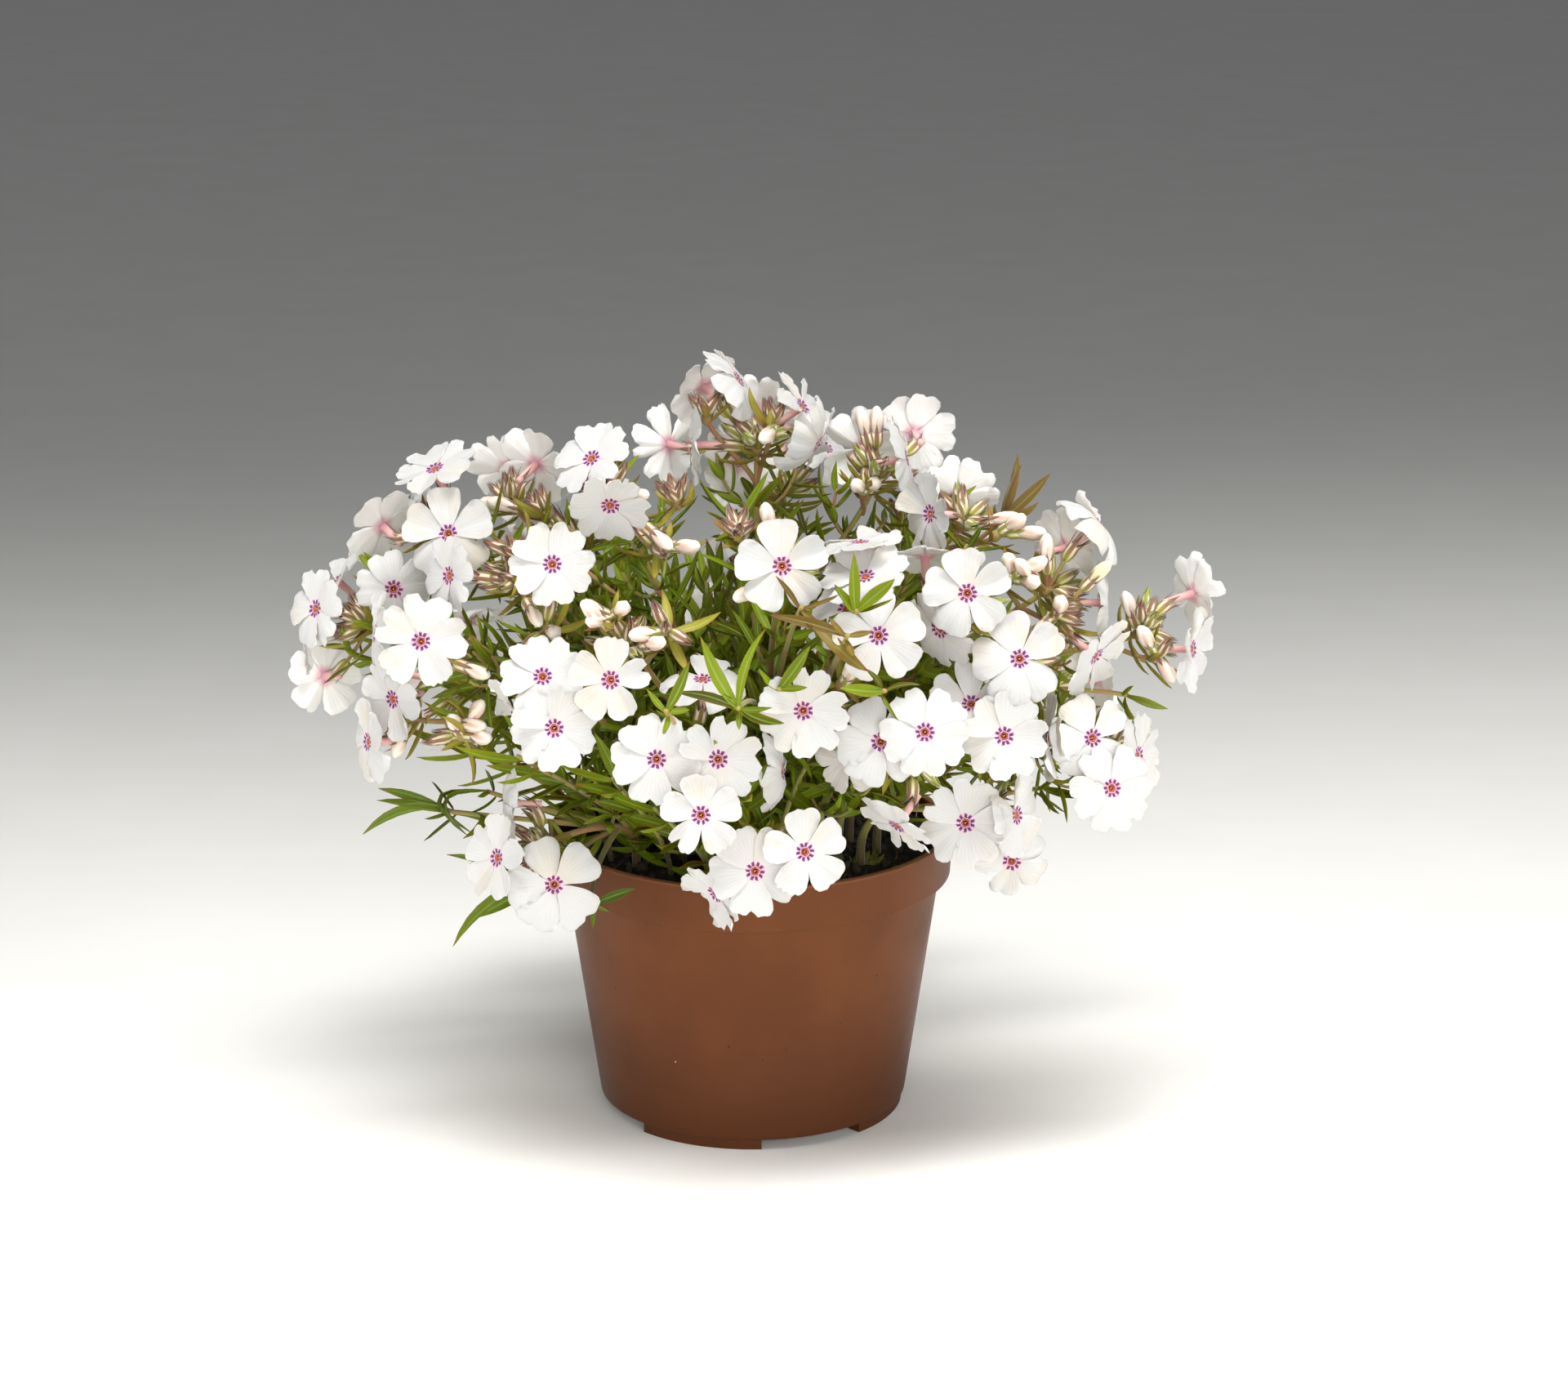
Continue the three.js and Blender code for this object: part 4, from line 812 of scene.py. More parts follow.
def addSideShoot(work, line, run, seed, skins):  # two short leafy shoots from the corners of a pair of leaves
    root, along = wayAt(line, run, run + 0.5)
    for way in range(2):
        side = sideOf(along, anyTurn * chance(seed, 31) + way * math.pi)
        size = pick(sideShoot["lengths"], seed + way, 32)
        tip = root + side * size * sideShoot["aside"] + along * size * sideShoot["ahead"] + (
            0, 0, size * sideShoot["lift"])
        back = (along * 0.5 + (0, 0, 0.4)) * size * 0.4
        path = bezier(root, root + side * size * 0.35, tip - back, tip, sideShoot["steps"])
        if blocked(path):
            continue
        addTube(work, path, np.linspace(*sideShoot["radii"], sideShoot["steps"]), 6, skins["stem"],
                variant=chance(seed, 33))
        twig = lineOf(path)
        pairs = size / sideShoot["spacing"]
        for k in range(int(pairs)):
            spot, ahead = wayAt(twig, *((k + past) * twig["run"][-1] / pairs for past in (1, 1.3)))
            if k + 1.3 >= pairs:
                ahead = unit(path[-1] - path[-2])
            for j in range(2):
                draw = seed * 7 + way * 31 + k * 2 + j
                out = sideOf(ahead, k * crosswise + j * math.pi + sideShoot["scatter"] * chance(draw, 34))
                tilt = math.radians(pick(sideShoot["tilts"], draw, 36))
                end = reached(spot, out, ahead, pick(sideShoot["leaves"], draw, 35), tilt)
                addLeafIfClear(work, spot, end, ahead, sideShoot["width"], draw, skins["leaf"])


def addLeavesAlong(work, curve, steps, seed, first, skins):
    fine, coarse = (lineOf(bezier(*curve, count)) for count in (stem["steps"], steps))
    length = coarse["run"][-1]
    count = int((length - first - leafing["tipClear"]) / leafing["spacing"]) * leafing["pairs"]
    for k in range(count):
        i, extra = divmod(k - 1, leafing["pairs"])
        run = first + (k + 0.5) * leafing["spacing"] / leafing["pairs"]
        fineRun = run / length * fine["run"][-1]
        root = pointsAt(fine, fineRun)
        segment = min(np.searchsorted(coarse["run"], run), steps - 1)
        along = unit(coarse["points"][segment] - coarse["points"][segment - 1])
        turn = leafing["quarterTurn"] * (i + extra * 0.9) + leafing["scatter"] * chance(seed, i + extra * 50)
        side = sideOf(along, math.radians(turn))
        for way in (1, -1):
            draw = seed * 3 + k * 7 if extra else seed + i
            size = leafing["length"] * pick(leafing["lengths"], draw, 40 + way)
            angle = math.radians(pick(leafing["angles"], draw, 50 + way) if extra else leafing["angle"])
            tip = reached(root, side * way, along, size, angle)
            addLeafIfClear(work, root, tip, along, leafing["width"], draw * 2 + way + k, skins["leaf"])
        if k % sideShoot["every"] == 1:
            addSideShoot(work, fine, fineRun, seed * 11 + k, skins)
        for j in range(tuft["count"]):  # small leaves that start in the corner of a pair
            draw = seed * 5 + k * 3 + j
            side, size = sideOf(along, j * golden + 6 * chance(draw, 26)), pick(tuft["lengths"], draw, 27)
            tip = root + side * size * tuft["aside"] + along * size * tuft["ahead"]
            addLeafIfClear(work, root, tip, along, tuft["width"], draw, skins["leaf"])


def addLongShoot(work, main, row, skins):
    at, depth, kind, leaves = shoots[row][1:]
    start, end = bezierAt(main, stem["shootAt"]), viewPoint(*at, depth)
    upper = unit(end - start)
    bend = (end + bezierAt(main, stem["shootBend"])) / 2
    count = longShoot["steps"]
    points = bezier(start, start + (bend - start) * 0.7, bend + (end - bend) * 0.3, end + upper, count)
    addTube(work, points, np.linspace(*longShoot["radii"], count), stem["sides"], skins["stem"], variant=0.4)
    for i, (*place, bow) in enumerate(leaves):
        tip = viewPoint(*place)
        addLeafIfClear(work, end, tip, upper, longShoot["width"], row * 9 + i, skins[kind], bow=bow)
    for i in range(longShoot["small"]):
        draw = 900 + row * 9 + i
        ahead, aside = pick(longShoot["ahead"], draw, 1), pick(longShoot["aside"], draw, 2)
        tip = end + upper * ahead + sideOf(upper, i * golden) * aside
        addLeafIfClear(work, end - upper * i, tip, upper, longShoot["smallWidth"], draw, skins[kind])


def buildStem(index, names, skins):
    work = newWork()
    x, y = stemFoot(names)
    start = np.array((x, y, stem["soilTop"] + stem["straight"]))
    main = curveTo(heads[names[0]], start, np.array((0, 0, 1)), stem["rise"])
    points = np.concatenate(([[x, y, stem["soilTop"] - stem["buried"]]], bezier(*main, stem["steps"])))
    radii = np.linspace(stem["footRadius"], stem["tipRadius"], stem["steps"])
    addTube(work, points, [radii[0], *radii], stem["sides"], skins["stem"], variant=chance(index, 70))
    addLeavesAlong(work, main, stem["leafSteps"], index * 20, leafing["firstOnStem"], skins)
    for name in names[1:]:
        curve = forkCurve(main, heads[name])
        radii = np.linspace(stem["forkRadius"], stem["tipRadius"], stem["steps"])
        addTube(work, bezier(*curve, stem["steps"]), radii, stem["sides"], skins["stem"],
                variant=chance(index, 71))
        addLeavesAlong(work, curve, stem["forkLeafSteps"], index * 20 + 7, leafing["firstOnFork"], skins)
    for row, (on, *_) in enumerate(shoots):
        if on == names[0]:
            addLongShoot(work, main, row, skins)
    return work


# Leafy shoots low in the plant, which fill it between the stems

undergrowth = {"count": 54, "radius": 43, "heights": (26, 74), "shorter": (0.6, 1), "lean": 0.75,
               "stray": 0.5, "radii": (0.75, 0.5), "tones": (0.4, 1.3), "spacing": 5.0,
               "leafLengths": (11, 21), "width": 3.0, "steps": 14, "shortest": 4, "tilts": (62, 20),
               "strays": (-14, 14), "scatter": 0.8, "pot": {"mouth": 48.3, "top": 76.6, "soil": 72.2}}


def buildUndergrowth(first, step, skins):
    work = newWork()
    u = undergrowth
    for i in range(first, u["count"], step):
        share = math.sqrt((i + 0.5) / u["count"])
        out = np.array((math.cos(i * golden), math.sin(i * golden), 0))
        foot = out * u["radius"] * share + (0, 0, stem["soilTop"] - 2)
        height = between(*u["heights"], (1 - share * share) * pick(u["shorter"], i, 81))
        lean = out * u["lean"] * share + np.array((chance(i, 82) - 0.5, chance(i, 83) - 0.5, 0)) * u["stray"]
        tip = foot + (lean * 1.3 + (0, 0, 1)) * height
        back = 0.4 * height * (lean + (0, 0, 0.6))
        path = bezier(foot, foot + (0, 0, height * 0.4), tip - back, tip, u["steps"])
        if inOpening(path):
            continue
        stops = [end - 1 for end in range(u["shortest"], u["steps"]) if blocked(path[end - 2:end])]
        path = path[:stops[0]] if stops else path
        if len(path) < u["shortest"]:
            continue
        radii = np.linspace(*u["radii"], len(path))
        addTube(work, path, radii, 6, skins["stem"], variant=pick(u["tones"], i, 84))
        line = lineOf(path)
        length = line["run"][-1]
        for k in range(int((length - 4) / u["spacing"]) + 1):
            run = min(5 + k * u["spacing"], length)
            root, along = wayAt(line, run - 0.5, min(run + 0.5, length))
            tilt = between(*u["tilts"], (run / length) ** 2)
            for way in range(2):
                draw = 2000 + i * 40 + k * 2 + way
                side = sideOf(along, k * crosswise + way * math.pi + u["scatter"] * chance(draw, 85))
                angle = math.radians(tilt + pick(u["strays"], draw, 87))
                end = reached(root, side, along, pick(u["leafLengths"], draw, 86), angle)
                addLeafIfClear(work, root, end, along, u["width"], draw, skins["leaf"], within=u["pot"])
    return work

# Pot: the solids' own profile, with its edges rounded as a mould leaves them

pot = {"height": 75.3, "rimRadius": 52.5, "collar": 12, "collarDraft": 0.7, "shoulderRadius": 49.1,
       "heelRadius": 40.3, "wall": 1.3, "rimWall": 2.1, "floor": 1.6, "edge": 0.6, "around": 144,
       "crease": 32}
potFoot = {"height": 2.6, "count": 4, "start": -45.3, "sweep": 49, "outer": 39.5, "inner": 35.6,
           "sink": 0.6, "steps": 20, "bevel": 0.35}
drain = {"count": 4, "radius": 4, "circle": 30, "angle": 24, "sides": 32}


def bodyRadius(height):
    share = (height - potFoot["height"]) / (pot["height"] - pot["collar"] - potFoot["height"])
    return between(pot["heelRadius"], pot["shoulderRadius"], share)


def roundedProfile(corners, steps=5):  # corners as (radius, height, rounding)
    points = []
    t = np.linspace(0, 1, steps)[:, None]
    for i, (x, z, radius) in enumerate(corners):
        corner = np.array((x, z))
        if radius == 0:
            points.append(corner)
            continue
        a, b = (np.array(corners[k][:2]) - corner for k in (i - 1, i + 1))
        a, b = (way / math.hypot(*way) * radius for way in (a, b))
        points.append(corner + a * 2)  # a row on each side keeps the flat wall's shading flat
        points.extend((1 - t) ** 2 * (corner + a) + 2 * t * (1 - t) * corner + t * t * (corner + b))
        points.append(corner + b * 2)
    return np.array(points)


def potProfile():
    collarFoot, base, rim = pot["height"] - pot["collar"], potFoot["height"], pot["rimRadius"]
    inside, edge, wall, lip = base + pot["floor"], pot["edge"], pot["wall"], rim - pot["rimWall"]
    return roundedProfile((
        (0, base, 0), (bodyRadius(base), base, 0.9), (bodyRadius(collarFoot), collarFoot, 0.35),
        (rim - pot["collarDraft"], collarFoot, 0.4), (rim, pot["height"], 0.55), (lip, pot["height"], 0.45),
        (lip - pot["collarDraft"], collarFoot + 2 * edge, 0.5),
        (bodyRadius(collarFoot) - wall, collarFoot - edge, 0.5), (bodyRadius(inside) - wall, inside, 0.7),
        (0, inside, 0)))


def ringPoint(shell, radius, angle, height):
    return shell.verts.new(Vector((radius * math.cos(angle), radius * math.sin(angle), height)) * mm)


def finishedMesh(name, shell):
    bmesh.ops.recalc_face_normals(shell, faces=shell.faces)
    mesh = bpy.data.meshes.new(name)
    shell.to_mesh(mesh)
    shell.free()
    return mesh


def latheMesh(name, profile, sides):
    shell = bmesh.new()
    rows = [[ringPoint(shell, radius, i / sides * wholeTurn, height) for i in range(sides if radius else 1)]
            for radius, height in profile]
    for low, high in zip(rows, rows[1:]):
        for i in range(sides):
            j = (i + 1) % sides
            ring = (low[i % len(low)], low[j % len(low)], high[j % len(high)], high[i % len(high)])
            shell.faces.new(tuple(dict.fromkeys(ring)))
    return finishedMesh(name, shell)


def footMesh(number):
    shell = bmesh.new()
    inner, outer, high = potFoot["inner"], potFoot["outer"], potFoot["height"] + potFoot["sink"]
    corners = ((inner, 0), (outer, 0), (outer, high), (inner, high))
    start = potFoot["start"] + number * 360 / potFoot["count"] - 90
    rows = []
    for i in range(potFoot["steps"] + 1):
        angle = math.radians(start + potFoot["sweep"] * i / potFoot["steps"])
        rows.append([ringPoint(shell, radius, angle, height) for radius, height in corners])
    for a, b in zip(rows, rows[1:]):
        for i in range(4):
            shell.faces.new((a[i], a[(i + 1) % 4], b[(i + 1) % 4], b[i]))
    for end in (rows[0], rows[-1]):
        shell.faces.new(end)
    bmesh.ops.bevel(shell, geom=[e for e in shell.edges if e.calc_face_angle(0) > 0.8],
                    offset=potFoot["bevel"] * mm, segments=2, affect="EDGES")
    return finishedMesh("potFoot", shell)


def drainMesh(number):
    a = math.radians(drain["angle"] - 90 + number * 360 / drain["count"])
    low, high = (potFoot["height"] + side * 3 * pot["floor"] for side in (-1, 1))
    mesh = latheMesh("potDrain", ((0, low), (drain["radius"], low), (drain["radius"], high), (0, high)),
                     drain["sides"])
    for vertex in mesh.vertices:
        vertex.co += Vector((math.cos(a), math.sin(a), 0)) * drain["circle"] * mm
    return mesh


def buildPot(skin):
    whole = newObject("nurseryPot", latheMesh("nurseryPot", potProfile(), pot["around"]))
    helpers = [("UNION", footMesh(i)) for i in range(potFoot["count"])]
    helpers += [("DIFFERENCE", drainMesh(i)) for i in range(drain["count"])]
    for kind, mesh in helpers:
        step = whole.modifiers.new(kind, "BOOLEAN")
        step.operation, step.solver, step.object = kind, "EXACT", newObject(mesh.name, mesh)
    whole.data = bpy.data.meshes.new_from_object(whole.evaluated_get(bpy.context.evaluated_depsgraph_get()))
    whole.modifiers.clear()
    for kind, mesh in helpers:
        bpy.data.meshes.remove(mesh)
    shell = bmesh.new()
    shell.from_mesh(whole.data)
    for face in shell.faces:
        face.smooth = True
        face.material_index = 0
    for edge in shell.edges:
        edge.smooth = edge.calc_face_angle(0) < math.radians(pot["crease"])
    shell.to_mesh(whole.data)
    shell.free()
    whole.data.materials.clear()
    whole.data.materials.append(skin)
    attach(whole, "root")
    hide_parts("pot")


# Peat: a plug that fills the pot, with a crumbly top, fibres, a little moss and a feed pellet

peat = {"mouth": 49.0, "edgeTop": 70.2, "top": 71.7, "wallTop": 68.5, "gap": 0.7, "rings": 34, "around": 112,
        "inmost": 0.03, "lumps": ((9, 0.9), (3.2, 0.55), (1.4, 0.3)), "tone": 0.4}
crumb = {"count": 460, "sizes": (0.45, 1.9), "clear": 1.2, "sunk": 0.3, "stretches": (0.6, 1.3), "bumps": 0.5}
fibre = {"count": 80, "clear": 5, "steps": (0.9, 2.6), "curl": 0.15, "lift": 0.25, "radii": (0.13, 0.29)}
moss = {"at": (21.5, -42.6), "radius": 5.2, "tips": 210, "heights": (0.9, 2.1), "leans": (-0.8, 0.8),
        "profile": (0.22, 0.3, 0.05)}
pellet = {"at": (13.6, -43.2), "radius": 1.95, "raised": 0.62}


def soilHeight(x, y):
    height = between(peat["top"], peat["edgeTop"], (math.hypot(x, y) / peat["mouth"]) ** 3)
    for size, depth in peat["lumps"]:
        height += depth * noise.noise(Vector((x, y, 7 * size)) / size)
    return height


def onSoil(x, y, lift=0.0):
    return np.array((x, y, soilHeight(x, y) + lift))


def groundUnder(across, up):  # where a look at the leaning plane meets the top of the peat
    eye = view["middle"] + viewDirection(0, 0, view["distance"])
    way = viewPoint(across, up, 0) - eye
    x, y, _ = eye + way * (peat["top"] - eye[2]) / way[2]
    return onSoil(x, y)


def ballTemplate(subdivisions):
    ball = bmesh.new()
    bmesh.ops.create_icosphere(ball, subdivisions=subdivisions, radius=1)
    points = np.array([vertex.co[:] for vertex in ball.verts])
    faces = np.array([[vertex.index for vertex in face.verts] for face in ball.faces])
    ball.free()
    return points, faces


def addCrumb(work, i, template, skin):
    points, faces = template
    out = (peat["mouth"] - crumb["clear"]) * math.sqrt((i + 0.5) / crumb["count"])
    size = between(*crumb["sizes"], chance(i, 95) ** 2.2)
    turn = i * golden * 1.03
    centre = onSoil(out * math.cos(turn), out * math.sin(turn), size * crumb["sunk"])
    stretch = np.array([pick(crumb["stretches"], i, 90 + axis) for axis in range(3)])
    bumps = np.array([1 + crumb["bumps"] * noise.noise(Vector(point) * 1.3 + Vector((i, 0, 0)))
                      for point in points])
    sine, cosine = math.sin(anyTurn * chance(i, 94)), math.cos(anyTurn * chance(i, 94))
    spin = np.array(((cosine, -sine, 0), (sine, cosine, 0), (0, 0, 1)))
    addPatch(work, centre + (points * bumps[:, None] * stretch) @ spin * size, [faces],
             np.array((0, 0, chance(i, 93))), skin)


def addFibre(work, i, skin):
    way, start = anyTurn * chance(i, 97), (peat["mouth"] - fibre["clear"]) * math.sqrt(chance(i, 96))
    step = np.array((math.cos(way), math.sin(way))) * pick(fibre["steps"], i, 98)
    curl = np.array((step[1], -step[0])) * fibre["curl"] * (chance(i, 99) - 0.5)
    start = np.array((start * math.cos(i * golden), start * math.sin(i * golden)))
    spots = [start + step * k + curl * k * k for k in range(5)]
    if max(math.hypot(*spot) for spot in spots) < peat["mouth"] - 0.5:
        path = np.array([onSoil(*spot, fibre["lift"] + 0.5 * (k % 2)) for k, spot in enumerate(spots)])
        addTube(work, path, pick(fibre["radii"], i, 100), 5, skin, variant=chance(i, 101))


def addMossTip(work, i, centre, skin):
    out = moss["radius"] * math.sqrt((i + 0.5) / moss["tips"]) * (0.75 + 0.25 * math.sin(i * 0.9))
    root = onSoil(centre[0] + out * math.cos(i * golden), centre[1] + 0.8 * out * math.sin(i * golden), -0.2)
    lean = (pick(moss["leans"], i, 102), pick(moss["leans"], i, 103), pick(moss["heights"], i, 104))
    points = root + np.outer((0, 0.5, 1), lean)
    addTube(work, points, moss["profile"], 4, skin, variant=chance(i, 105))


def buildPeat(skins):
    work = newWork()
    collarFoot, gap = pot["height"] - pot["collar"], pot["wall"] + peat["gap"]
    low, neck = potFoot["height"] + pot["floor"] + peat["gap"], collarFoot - 2 * pot["edge"]
    walls = ((bodyRadius(low) - gap - pot["edge"], low), (bodyRadius(neck) - gap, neck),
             (peat["mouth"], collarFoot + 3 * pot["edge"]), (peat["mouth"], peat["wallTop"]))
    angle = np.arange(peat["around"]) / peat["around"] * wholeTurn
    flat = np.stack([np.cos(angle), np.sin(angle)], -1)
    rings = [[(x, y, height) for x, y in flat * radius] for radius, height in walls]
    for radius in peat["mouth"] * np.linspace(1, peat["inmost"], peat["rings"]):
        rings.append([onSoil(x, y) for x, y in flat * radius])
    addRings(work, np.array(rings), (0, 0, peat["tone"]), skins["peat"])
    lump, (ball, faces) = ballTemplate(2), ballTemplate(3)
    for i in range(crumb["count"]):
        addCrumb(work, i, lump, skins["crumb"])
    for i in range(fibre["count"]):
        addFibre(work, i, skins["fibre"])
    for i in range(moss["tips"]):
        addMossTip(work, i, groundUnder(*moss["at"]), skins["moss"])
    spot = groundUnder(*pellet["at"]) + (0, 0, pellet["raised"] * pellet["radius"])
    addPatch(work, ball * pellet["radius"] + spot, [faces], np.array((0, 0, 0.5)), skins["pellet"])
    return work


# Materials: each is named for what it is and how it was made

nodeKinds = {  # short name: the node, its inputs in the order they are given, its output, its settings
    "place": ("Attribute", (), "Vector", {"attribute_name": "place"}),
    "here": ("TexCoord", (), "Object", {}),
    "split": ("SeparateXYZ", (0,), 0, {}),
    "splitColour": ("SeparateColor", (0,), 0, {}),
    "mix": ("Mix", (0, 6, 7), 2, {"data_type": "RGBA"}),
    "ramp": ("MapRange", (0, 1, 2), 0, {"interpolation_type": "SMOOTHSTEP"}),
    "level": ("MapRange", (0, 1, 2, 3, 4), 0, {}),
    "noise": ("TexNoise", ("Vector", "Scale", "Detail", "Roughness"), 0, {}),
    "specks": ("TexVoronoi", ("Vector", "Scale", "Randomness"), "Distance", {}),
    "bump": ("Bump", ("Height", "Strength", "Distance"), 0, {}),
}
belowSheet = (0.985, 1.0)  # tones end at 0.98 and an underside adds 1, so a sheet's two sides part here


def linear(hexColour):  # an sRGB hex colour as the shader's linear one
    values = [int(hexColour[i:i + 2], 16) / 255 for i in (1, 3, 5)]
    return (*(v / 12.92 if v <= 0.04045 else ((v + 0.055) / 1.055) ** 2.4 for v in values), 1)


def plug(made, inputs):  # an input is a value, a hex colour or (node, output)
    for socket, value in inputs.items():
        if isinstance(value, tuple) and hasattr(value[0], "outputs"):
            made.id_data.links.new(value[0].outputs[value[1]], made.inputs[socket])
        else:
            made.inputs[socket].default_value = linear(value) if isinstance(value, str) else value


def addNode(tree, kind, *inputs):  # a kind with no row above is a Math node's operation
    name, sockets, output, settings = nodeKinds.get(kind, ("Math", (0, 1), 0, {"operation": kind}))
    made = tree.nodes.new("ShaderNode" + name)
    for key, value in settings.items():
        setattr(made, key, value)
    plug(made, dict(zip(sockets, inputs)))
    return made, output


def newMaterial(name, recipe, *details):
    # a recipe takes the parts of the place and gives a colour, (share, colour) over it, and other sockets
    material = bpy.data.materials.new(name)
    material.use_nodes = True
    add = functools.partial(addNode, material.node_tree)
    parts = add("split", add("place"))[0]
    colour, layers, sockets = recipe(add, *((parts, axis) for axis in range(3)), *details)
    for share, paint in layers:
        colour = add("mix", share, colour, paint)
    plug(material.node_tree.nodes["Principled BSDF"], {"Base Color": colour, **sockets})
    return material


# Living petal: a thin sheet of waxy cells, so it is white, soft and a little see-through, with a painted eye.
# Its underside is painted near white and far brighter than its front, a painted glow standing in for light
# that comes through the sheet.
petalLook = {"white": "#c7c6c4", "cream": "#c9c1b2", "paintedGlowUnderside": "#fdf9f3", "blush": "#eebfc0",
             "halo": "#efbdd0", "throat": "#c07a7c", "dash": "#520b52", "dashEdge": "#762272",
             "crimson": "#740a36", "vein": "#e6ded6", "veins": 44.0, "dashSlope": 0.3, "dashHalf": 0.37,
             "dashFrom": 1.24, "dashTo": 2.15, "creamSize": 9.0, "roughness": 0.62}


def petalTissue(add, x, y, variant):
    look, start, end, half = petalLook, petalLook["dashFrom"], petalLook["dashTo"], petalLook["dashHalf"]
    under = add("level", variant, *belowSheet)
    front = add("SUBTRACT", 1.0, under)
    patches = add("noise", add("here"), 1000 / look["creamSize"], 2.0)
    creamy = add("MULTIPLY", add("ramp", patches, 0.42, 0.75), add("FRACT", variant))
    across = add("DIVIDE", y, add("ADD", x, 0.01))
    stripes = add("SINE", add("MULTIPLY", across, look["veins"]))
    veins = add("MULTIPLY", add("ramp", stripes, 0.55, 1.0), add("ramp", x, 11.0, 3.0))
    # painted glow: the underside is near white while the front stays dim, standing in for light let through
    # the petal
    back = add("mix", add("ramp", x, 3.6, 0.9), look["paintedGlowUnderside"], look["blush"])
    off = add("ABSOLUTE", add("SUBTRACT", add("ABSOLUTE", y), add("MULTIPLY", x, look["dashSlope"])))
    ends = add("MULTIPLY", add("ramp", x, start - 0.2, start + 0.1), add("ramp", x, end + 0.22, end - 0.1))
    dashes = add("MULTIPLY", add("MULTIPLY", add("ramp", off, half * 1.5, half * 0.6), ends), front)
    purple = add("mix", add("ramp", patches, 0.5, 0.62), look["dash"], look["crimson"])
    layers = ((creamy, look["cream"]), (add("MULTIPLY", veins, 0.35), look["vein"]), (under, back),
              (add("MULTIPLY", add("ramp", x, 2.9, 1.2), 0.75), look["halo"]),
              (dashes, add("mix", add("ramp", x, start, end), purple, look["dashEdge"])),
              (add("MULTIPLY", add("ramp", x, 1.2, 0.9), front), look["throat"]))
    return look["white"], layers, {
        "Roughness": look["roughness"], "IOR": 1.4, "Subsurface Weight": 0.5, "Subsurface Scale": 0.0005,
        "Subsurface Radius": (1.0, 1.0, 1.0), "Sheen Weight": 0.08,
        "Normal": add("bump", stripes, 0.12, 0.0001)}


# Corolla tube: the petals' own tissue grown together, dusky pink outside and orange in its mouth, turning
# dark red further down inside, which is painted shade.
tubeLook = {"mouth": "#dc9aa0", "foot": "#e3b4ad", "inside": "#b0553c", "deep": "#7a2f34", "ring": "#8a2036"}


def tubeTissue(add, height, within, ring):
    # painted shade: the inside darkens towards the depth of the tube
    inside = add("mix", add("ramp", height, -3.0, -0.8), tubeLook["deep"], tubeLook["inside"])
    layers = (add("ramp", height, -6.0, -1.0), tubeLook["mouth"]), (within, inside), (ring, tubeLook["ring"])
    return tubeLook["foot"], layers, {"Roughness": 0.55, "IOR": 1.4, "Sheen Weight": 0.15}


# Two colours spread by a noise of a real size, for small plain parts.
def speckled(add, along, turn, variant, light, dark, grain, bump, roughness):
    grains = add("noise", add("here"), 1000 / grain, 4.0)
    share = add("ADD", add("MULTIPLY", add("ramp", grains, 0.35, 0.65), 0.6), add("MULTIPLY", variant, 0.4))
    relief = add("bump", grains, bump, grain * mm * 0.4)
    return dark, [(share, light)], {"Roughness": roughness, "Normal": relief}


# Calyx: hairy ribs, green at the foot and brown-mauve towards the teeth, with pale dry skin between.
calyxLook = {"ribFoot": "#97923a", "ribMiddle": "#8f6a50", "ribTip": "#74503f", "skinFoot": "#c8c56c",
             "skinTop": "#efe2c4", "young": "#969d46", "hairSize": 0.38462}


def calyxTissue(add, along, phase, variant):
    look = calyxLook
    skin = add("mix", add("ramp", along, 0.0, 0.5), look["skinFoot"], look["skinTop"])
    layers = ((add("ramp", along, 0.02, 0.45), look["ribMiddle"]),
              (add("ramp", along, 0.5, 1.0), look["ribTip"]),
              (add("ramp", variant, 0.62, 0.95), look["young"]), (add("ramp", phase, 0.42, 0.78), skin))
    hairs = add("noise", add("here"), 1000 / look["hairSize"], 3.0)
    return look["ribFoot"], layers, {
        "Roughness": 0.62, "IOR": 1.42, "Sheen Weight": 0.5, "Sheen Roughness": 0.4,
        "Normal": add("bump", hairs, 0.5, 0.0002)}


# Bud: petals still furled round each other, cream with a pink edge along the spiral, green when young.
budLook = {"cream": "#f2e6d6", "edge": "#e2b9a8", "young": "#e6e0b6", "tip": "#f6efe4"}


def budTissue(add, along, turn, variant):
    seam = add("FRACT", add("MULTIPLY", turn, 5.0))
    edge = add("MULTIPLY", add("ramp", seam, 0.45, 0.62), add("ramp", along, 1.0, 0.35))
    layers = ((edge, budLook["edge"]), (add("ramp", along, 0.6, 1.0), budLook["tip"]),
              (add("ramp", variant, 0.3, 0.1), budLook["young"]))
    return budLook["cream"], layers, {"Roughness": 0.5, "IOR": 1.4, "Subsurface Weight": 0.1,
                                      "Subsurface Scale": 0.001, "Sheen Weight": 0.1}


# Leaf: smooth cuticle over soft green tissue, glossy in places, with a pale midrib and a browned tip.
leafLook = {"fresh": "#73860f", "deep": "#53670a", "old": "#434c0a", "midrib": "#9caa4a",
            "below": "#7f9124", "brown": "#7d5a22"}
# a darker copy of the leaf colours for the low shoots: painted shade on the same leaves as those in light
paintedShadeLook = {"fresh": "#566d0e", "deep": "#3f540a", "old": "#36420a", "midrib": "#84943c",
              "below": "#62761c", "brown": "#6c4e1e"}
bronzeLook = {"fresh": "#7c6c2a", "deep": "#5e5020", "old": "#6a4528", "midrib": "#9a8a4c",
              "below": "#8a7c3c", "brown": "#6e4426"}
bractLook = {"fresh": "#a09c36", "deep": "#848326", "old": "#966c3e", "midrib": "#bcb070",
             "below": "#a39d44", "brown": "#85543a"}
leafPattern = {"patchSize": 6.25, "ribs": 16.0, "ripple": 0.3}


